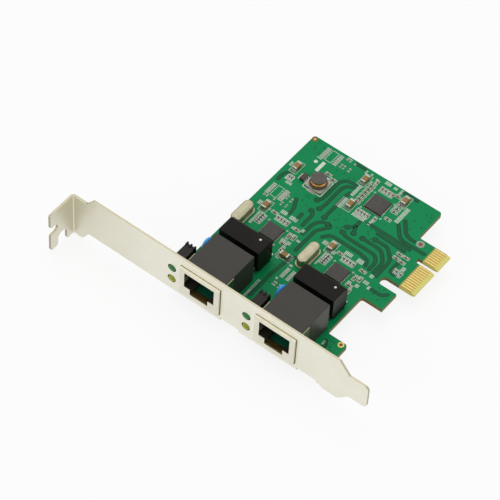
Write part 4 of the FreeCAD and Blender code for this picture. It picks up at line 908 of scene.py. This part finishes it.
bm = bmesh.new()
for box in BLOCKS:
    bars(bm, *box)
for (x, y), (_, step), count, along_x, _ in ROWS:
    if count == LONG_ROW:
        for i in range(count + 1):
            cy = y + (i - 0.5) * step
            slab(bm, x - along_x * 0.55, x + along_x * 0.55, cy - 0.11, cy + 0.11, INK)
print(len(BLOCKS), "references")

# %% [markdown]
# The frames are measured from the parts. Each chip has a cross beyond its corners, and a few
# boxes and lines stand alone.

# %% Frames, crosses and lone lines
FRAMED = [      # parts, and how far their frames stand off at the ends and sides
    ("large_capacitors", 1.65, 0.63), ("chip_capacitors", 0.97, 0.3),
    ("chip_resistors", 0.97, 0.3)]
CROSS, CROSS_OUT = 0.45, 0.7        # an arm, and how far out from a chip's corner
HALF_LINE = 0.09
SOLID_BOX, SOLID_DOT = (48.1, 49.4, 67.9, 72.7), (46.2, 71.2)
LONE_FRAMES = [(47.9, 50.4, 73.8, 78.8), (43.0, 45.4, 49.9, 54.9)]
LONG_LINES = (62.0, 62.6)

for node, ends, sides in FRAMED:
    for low, high, _ in solids(node):
        mx, my = (ends, sides) if high.x - low.x > high.y - low.y else (sides, ends)
        frame_lines(bm, low.x - mx, high.x + mx, low.y - my, high.y + my, FRAME_LINE)
low, high = millimetres("inductor_base")
frame_lines(bm, low.x - 0.45, high.x + 0.3, low.y - 0.45, high.y + 0.3, 0.3)
for node in CHIPS:
    low, high = millimetres(node)
    for x in (low.x - CROSS_OUT, high.x + CROSS_OUT):
        for y in (low.y - CROSS_OUT, high.y + CROSS_OUT):
            slab(bm, x - CROSS, x + CROSS, y - HALF_LINE, y + HALF_LINE, INK)
            slab(bm, x - HALF_LINE, x + HALF_LINE, y - CROSS, y + CROSS, INK)
slab(bm, *SOLID_BOX, INK)
disc(bm, *SOLID_DOT, 0.7, INK, 20)
for box in LONE_FRAMES:
    frame_lines(bm, *box)
for x in LONG_LINES:
    slab(bm, x - HALF_LINE, x + HALF_LINE, 9.5, 19.5, INK)
piece("white_printing", bm, PRINT)

# %% [markdown]
# ## Vias, aiming marks and the ring pad
# Vias are drilled, plated and covered by the mask, so each is a small raised ring in the
# green. One aiming mark is a gold dot in a ring of bare laminate, the other a gold ring with
# bare laminate inside. The ring pad is wider and tinned.

# %% Round marks
CLEAR = [(93.0, 99.0, 37.0, 42.0), (93.4, 98.4, 9.6, 15.0), (50.5, 56.0, 53.0, 58.0),
         (66.0, 71.0, 52.6, 59.0), (76.0, 80.0, 56.0, 60.0), (86.5, 91.0, 66.0, 78.0),
         (53.5, 61.0, 72.6, 73.6), (61.8, 66.0, 18.0, 34.0), (41.0, 47.5, 74.0, 79.0)]
VIAS, APART = 60, 1.1
MARK, CORNER_MARK, RING_PAD = (40.1, 78.9), (98.2, 15.3), (94.07, 64.78)

bm = bmesh.new()
spots = []
while len(spots) < VIAS:
    x0, x1, y0, y1 = random.choice(CLEAR)
    x, y = random.uniform(x0, x1), random.uniform(y0, y1)
    if all(math.hypot(x - a, y - b) > APART for a, b in spots):
        spots.append((x, y))
        washer(bm, x, y, 0.15, 0.36, 0.03, 14)
piece("vias", bm, TRACE_MASK)

bm = bmesh.new()
disc(bm, *MARK, 0.42, 0.04)
disc(bm, *CORNER_MARK, 1.1, 0.04, 32)
piece("gold_marks", bm, GOLD)

bm = bmesh.new()
washer(bm, *MARK, 0.42, 1.1, 0.025)
disc(bm, *RING_PAD, 0.85, 0.05, 28)
disc(bm, *CORNER_MARK, 0.6, 0.06, 28)
piece("bare_rings", bm, LAMINATE)

bm = bmesh.new()
washer(bm, *RING_PAD, 0.75, 1.45, 0.055)
piece("ring_pad", bm, DULL_TIN)

# %% [markdown]
# ## Solder under the board
# Every lead that goes through the board ends in a cone of solder underneath. The leads are
# measured from the CAD nodes, and each cone is turned round its lead.

# %% Through-hole joints
LEADED = [name + "_%d" % number for name in ("jack_contacts", "led_leads", "jack_shield",
                                             "disc_capacitor", "crystal") for number in (1, 2)]
LEAD_JOINT, LEG_JOINT = 0.62, 0.95      # radii of the solder

bm, rims = bmesh.new(), bmesh.new()
joints_made = 0
for node in LEADED:
    reach = LEG_JOINT if node.startswith("jack_shield") else LEAD_JOINT
    for x, y, low in tips(node):
        rise = (BOARD_LOW - low) * 0.8
        turned(bm, [(0, 0.05), (reach, 0.03), (reach * 0.96, -0.06), (reach * 0.62, -rise * 0.3),
                    (reach * 0.4, -rise * 0.7), (reach * 0.22, -rise), (0, -rise - 0.04)],
               (x, y, BOARD_LOW), 18)
        washer(rims, x, y, reach * 0.9, reach + 0.16, 0.03, 18, BOARD_LOW - 0.03)
        joints_made += 1
piece("lead_solder", bm, SOLDER, smooth=60)
piece("lead_pads", rims, TIN)
print(joints_made, "joints under the board")

# %% [markdown]
# ## The crystals
# A crystal sits in a drawn steel can: an oval with a soft round top edge, welded to a thin
# flange, with a smaller oval pressed into its top. The oval is laid out once and repeated at
# each height with its own inset.

# %% Crystal cans
FLANGE_OUT, SOFT = 0.42, 0.6        # the flange's width and the radius of the top edge
PRESSED = 0.07                      # depth of the oval in the top


def oval(cx, cy, wide, long, steps=14):
    """Points round an oval with half-round ends, anticlockwise."""
    radius = wide / 2
    straight = long / 2 - radius
    points = []
    for start, shift in ((0.0, straight), (math.pi, -straight)):
        for i in range(steps + 1):
            angle = start + math.pi * i / steps
            points.append((cx + radius * math.cos(angle), cy + shift + radius * math.sin(angle)))
    return points


for number in (1, 2):
    node = "crystal_%d" % number
    low, high = millimetres(node)
    middle, top = (low + high) / 2, high.z
    layers = [(0, 0.0), (0, 0.3), (0.06, 0.42), (FLANGE_OUT, 0.46), (FLANGE_OUT, 0.6)]
    for i in range(7):
        turn = math.pi / 2 * i / 6
        layers.append((FLANGE_OUT + SOFT * (1 - math.cos(turn)),
                       top - SOFT + SOFT * math.sin(turn)))
    rim = FLANGE_OUT + SOFT + 0.25
    layers += [(rim, top), (rim + 0.12, top - PRESSED), (rim + 0.2, top - PRESSED)]
    bm = bmesh.new()
    closed(bm, [ring(bm, oval(middle.x, middle.y, high.x - low.x - 2 * inset,
                              high.y - low.y - 2 * inset), height) for inset, height in layers])
    for x, y, tip in tips(node):
        turned(bm, [(0.22, 0.02), (0.22, tip + 0.08), (0.12, tip)], (x, y, 0), 16)
    piece(node + "_can", bm, CAN, [node], smooth=35)

# %% [markdown]
# ## The lights
# A light is a cast resin rod with a domed end. A turned profile gives the dome a true curve,
# which the few flat bands of the CAD solid only suggest.

# %% Domed lights
DOME = 0.72         # the dome's height as a share of its radius
DOME_STEPS = 8
CHAMFER = 0.06

for number in (1, 2):
    for tint, finish in (("green", GREEN), ("yellow", YELLOW)):
        node = "%s_led_%d" % (tint, number)
        low, high = millimetres(node)
        middle, radius, length = (low + high) / 2, (high.x - low.x) / 2, high.y - low.y
        profile = []
        for i in range(DOME_STEPS + 1):
            turn = math.pi / 2 * i / DOME_STEPS
            profile.append((radius * math.sin(turn), radius * DOME * (1 - math.cos(turn))))
        profile += [(radius, length - 0.9), (radius, length - CHAMFER),
                    (radius - CHAMFER, length)]
        bm = bmesh.new()
        turned(bm, profile, (middle.x, low.y, middle.z), 32, "Y")
        piece(tint + "_light_%d" % number, bm, finish, [node], smooth=40)

# %% [markdown]
# ## The disc capacitors
# Dipping leaves a lens that's thick in the middle, with a rounded rim and skirts where the
# coating runs down the two leads. The lens is turned about X and then the leads are added.

# %% Dipped discs
DISC_SHARE, DISC_DROP = 0.92, 0.55      # smaller and lower than the CAD's flat disc
DISC_STEPS = 12
FULLNESS = 0.55     # below 1 the lens has blunt rims

for number in (1, 2):
    node = "disc_capacitor_%d" % number
    low, high = millimetres(node)
    radius, half = (high.y - low.y) / 2 * DISC_SHARE, (high.x - low.x) / 2
    height = high.z - radius - DISC_DROP
    profile = [(0.0, -half)]
    for i in range(1, DISC_STEPS):
        turn = math.pi * i / DISC_STEPS
        profile.append((radius * math.sin(turn) ** FULLNESS, -half * math.cos(turn)))
    profile.append((0.0, half))
    bm = bmesh.new()
    turned(bm, profile, ((low.x + high.x) / 2, (low.y + high.y) / 2, height), 36, "X")
    for x, y, tip in tips(node):
        turned(bm, [(0.5, height - radius * 0.75), (0.42, height - radius - 0.25),
                    (0.25, height - radius - 0.6), (0.23, tip + 0.08), (0.14, tip)],
               (x, y, 0), 16)
    piece("dipped_disc_%d" % number, bm, DISC, [node], smooth=45)

# %% [markdown]
# ## The inductor
# Enamelled wire is wound round a ferrite drum, between its flanges. The drum is turned from
# one profile, and the wire is three helices, one inside the other. They're curves with a
# round section, which keeps every turn smooth.

# %% Drum and turns of wire
low, high = millimetres("inductor_winding")
core_low, core_high = millimetres("inductor_core")
MIDDLE = (low + high) / 2
WIRE = 0.36
TURN_STEPS = 28
FLANGE = (core_high.x - core_low.x) / 2 - 0.5       # radius of the upper flange
FOOT_FLANGE, POST = FLANGE + 0.4, FLANGE - 1.5

bm = bmesh.new()
turned(bm, [(FOOT_FLANGE, core_low.z), (FOOT_FLANGE, low.z - 0.1), (FOOT_FLANGE - 0.1, low.z),
            (POST, low.z), (POST, high.z), (FLANGE - 0.1, high.z), (FLANGE, high.z + 0.1),
            (FLANGE, core_high.z - 0.16), (FLANGE - 0.16, core_high.z)],
       (MIDDLE.x, MIDDLE.y, 0), 40)
piece("drum_core", bm, FERRITE, ["inductor_core"], smooth=40)


def coil(name, radius, turns, stands_for=()):
    curve = bpy.data.curves.new(name, "CURVE")
    curve.dimensions = "3D"
    curve.bevel_depth = WIRE / 2 * MM
    curve.bevel_resolution = 3
    curve.use_fill_caps = True
    spline = curve.splines.new("POLY")
    steps = int(turns * TURN_STEPS)
    spline.points.add(steps)
    start, end = low.z + WIRE / 2, high.z - WIRE / 2
    for i, point in enumerate(spline.points):
        angle = 2 * math.pi * turns * i / steps
        point.co = ((MIDDLE.x + radius * math.cos(angle)) * MM,
                    (MIDDLE.y + radius * math.sin(angle)) * MM,
                    (start + (end - start) * i / steps) * MM, 1)
    made = bpy.data.objects.new(name, curve)
    scene.collection.objects.link(made)
    curve.materials.append(COPPER)
    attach(made, "root")
    if stands_for:
        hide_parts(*stands_for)
    print(name, "has", turns, "turns")


outer = FLANGE - 0.05 - WIRE / 2
coil("winding_outer", outer, 3.6, ["inductor_winding"])
coil("winding_inner", outer - WIRE, 3.9)
coil("winding_middle", outer - 2 * WIRE, 3.9)

# %% [markdown]
# ## Marks of the mould
# The jack housings and the magnetics are injection moulded. Ejector pins leave faint round
# marks on the housings, a hundredth of a millimetre high here, and a printed dot shows the
# first pin of the magnetics.

# %% Ejector marks
MARK_SPREAD, MARK_BACK = 5.2, 3.2       # from the housing's middle and its rear edge
DOT_INSET = (3.1, 2.6)                  # from the magnetics' far corner

bm, dots = bmesh.new(), bmesh.new()
for number in (1, 2):
    low, high = millimetres("jack_housing_%d" % number)
    for sign in (-1, 1):
        washer(bm, (low.x + high.x) / 2 + sign * MARK_SPREAD, high.y - MARK_BACK,
               0.75, 0.82, 0.01, 28, high.z)
    low, high = millimetres("magnetics_case_%d" % number)
    disc(dots, high.x - DOT_INSET[0], high.y - DOT_INSET[1], 0.42, 0.015, 20, high.z)
piece("ejector_marks", bm, JACK)
piece("pin_one_dots", dots, PRINT)

# %% [markdown]
# The shield's lower lip is folded into the plug opening and lines the latch's keyway, where
# it shows as a brassy glint. Behind it a thin green sheet on the cavity's floor is a painted
# reflection of the board's green.

# %% Keyway linings
KEYWAY_FLOOR, CAVITY_FLOOR = 1.7, 4.2       # heights above the board
CAVITY_BACK = 11.8                          # from the housing's front
LIP_HALF, SHEET = 3.5, 0.04

bm, reflection_sheets = bmesh.new(), bmesh.new()
for number in (1, 2):
    low, high = millimetres("jack_housing_%d" % number)
    cx, back = (low.x + high.x) / 2, low.y + CAVITY_BACK
    slab(bm, cx - LIP_HALF, cx + LIP_HALF, low.y + 0.1, low.y + 2.2, 0.08, KEYWAY_FLOOR)
    # painted reflection: green sheets on the cavity's floor and shelf
    slab(reflection_sheets, cx - 3.4, cx + 3.4, low.y + 2.6, back, SHEET, KEYWAY_FLOOR)
    slab(reflection_sheets, cx + 3.7, cx + 6.2, low.y + 2.0, back, SHEET, CAVITY_FLOOR)
piece("keyway_linings", bm, LINING)
piece("jack_painted_reflections", reflection_sheets, JACK_PAINTED_REFLECTION)

# %% [markdown]
# The light holders end in a comb of three teeth, which keeps the leads apart. A gap is as
# wide as two teeth.

# %% Holder combs
TOOTH_OUT, TOOTH_UP, TOOTH_TALL = 0.35, 0.4, 2.8

bm = bmesh.new()
for number in (1, 2):
    low, high = millimetres("led_holder_%d" % number)
    wide = (high.x - low.x) / 7     # three teeth and two gaps
    for i in (0, 3, 6):
        slab(bm, low.x + i * wide, low.x + (i + 1) * wide, high.y - 1.0, high.y + TOOTH_OUT,
             TOOTH_TALL, high.z + TOOTH_UP - TOOTH_TALL)
piece("holder_combs", bm, HOLDER)

# %% [markdown]
# ## The stage
# A pale floor that the card lies on, seen as white by the camera and by shiny surfaces,
# while it keeps the card's soft shadow. The world does the same for anything beyond it.

# %% Floor and world
CARD_LOW, CARD_HIGH = (Vector(corner) for corner in CAD_BOX)
CENTRE = (CARD_LOW + CARD_HIGH) / 2
FLOOR_HALF, FLOOR_GAP = 1.5, 0.0002     # metres
FLOOR_GLOW = 0.86       # share of plain white that the camera sees in the floor
SKY_LIGHT = 0.5         # light on the card from all round
WHITE = (1, 1, 1, 1)

bm = bmesh.new()
bmesh.ops.create_grid(bm, x_segments=1, y_segments=1, size=FLOOR_HALF)
mesh = bpy.data.meshes.new("floor")
bm.to_mesh(mesh)
bm.free()
floor = bpy.data.objects.new("floor", mesh)
floor.location = (CENTRE.x, CENTRE.y, CARD_LOW.z - FLOOR_GAP)
scene.collection.objects.link(floor)


def rays_to_show(nodes):
    """1 for rays that show the background: to the camera, or by way of metal and glass."""
    path = nodes.node("LightPath").outputs
    return (nodes.amount(path["Is Camera Ray"]) + nodes.amount(path["Is Glossy Ray"])
            + nodes.amount(path["Is Transmission Ray"])).bounded()


pale = Finish("pale_floor", 0.9, **{"Base Color": (0.9, 0.9, 0.9, 1)})
glow = pale.node("Emission", {}, {"Color": WHITE, "Strength": 1.0})
both = pale.node("MixShader", {}, {0: rays_to_show(pale) * FLOOR_GLOW,
                                   1: pale.shader.outputs[0], 2: glow.outputs[0]})
pale.tree.links.new(both.outputs[0], pale.output.inputs["Surface"])
floor.data.materials.append(pale.material)

world = bpy.data.worlds.new("studio")
scene.world = world
sky = Nodes(world)
soft, white = (sky.node("Background", {}, {"Color": WHITE, "Strength": strength})
               for strength in (SKY_LIGHT, 1.0))
blend = sky.node("MixShader", {}, {0: rays_to_show(sky), 1: soft.outputs[0],
                                   2: white.outputs[0]})
sky.node("OutputWorld", {}, {"Surface": blend.outputs[0]})
scene.view_settings.view_transform = "Standard"
print("floor at", round(floor.location.z / MM, 2), "mm")

# %% [markdown]
# ## Light
# Large soft boxes: one high over the board, one to its right that keeps the magnetics' side
# from going black, and one in front for the bracket. Their power is worked out from the
# light that should reach the card, so that colours come out about as they were written.

# %% Soft boxes
def soft_box(name, place, size, share):
    """A square lamp that looks at the card and adds `share` of full light."""
    place = CENTRE + Vector(place)
    lamp = bpy.data.lights.new(name, "AREA")
    lamp.shape = "SQUARE"
    lamp.size = size
    away = (place - CENTRE).length
    lamp.energy = share * math.pi ** 2 * away ** 2
    holder = bpy.data.objects.new(name, lamp)
    holder.location = place
    holder.rotation_euler = (CENTRE - place).to_track_quat("-Z", "Y").to_euler()
    scene.collection.objects.link(holder)
    print(name, round(lamp.energy, 2), "W")


soft_box("box_above", (-0.25, 0.35, 1.1), 1.2, 0.42)
soft_box("box_right", (1.2, 0.1, 0.35), 0.8, 0.16)
soft_box("box_front", (-0.3, -1.1, 0.5), 0.9, 0.2)

# %% [markdown]
# ## Camera
# The card is seen from its port side, from well above and from the right of the bracket. A
# long lens keeps its edges nearly parallel. The three directions below are the camera's
# right, up and view, measured in the card's frame.

# %% Camera
RIGHT = Vector((0.78935073, 0.6124119, 0.04332533))
UP = Vector((-0.50313965, 0.60483846, 0.61726893))
VIEW = Vector((-0.35181802, 0.50904037, -0.78555839))
EYE = Vector((350.974, -404.937, 666.734)) * MM

SENSOR, FOCAL = 36.0, 187.083       # millimetres, as Blender's cameras have them

lens = bpy.data.cameras.new("camera")
lens.sensor_width, lens.lens = SENSOR, FOCAL
lens.clip_start, lens.clip_end = 0.05, 20.0
camera = bpy.data.objects.new("camera", lens)
turn = Matrix((RIGHT, UP, -VIEW)).transposed()
camera.matrix_world = Matrix.Translation(EYE) @ turn.to_4x4()
scene.collection.objects.link(camera)
scene.camera = camera
print("camera", round((EYE - CENTRE).length, 3), "m from the card")

# %% [markdown] ## The end The dressed card must be no larger than the CAD one.
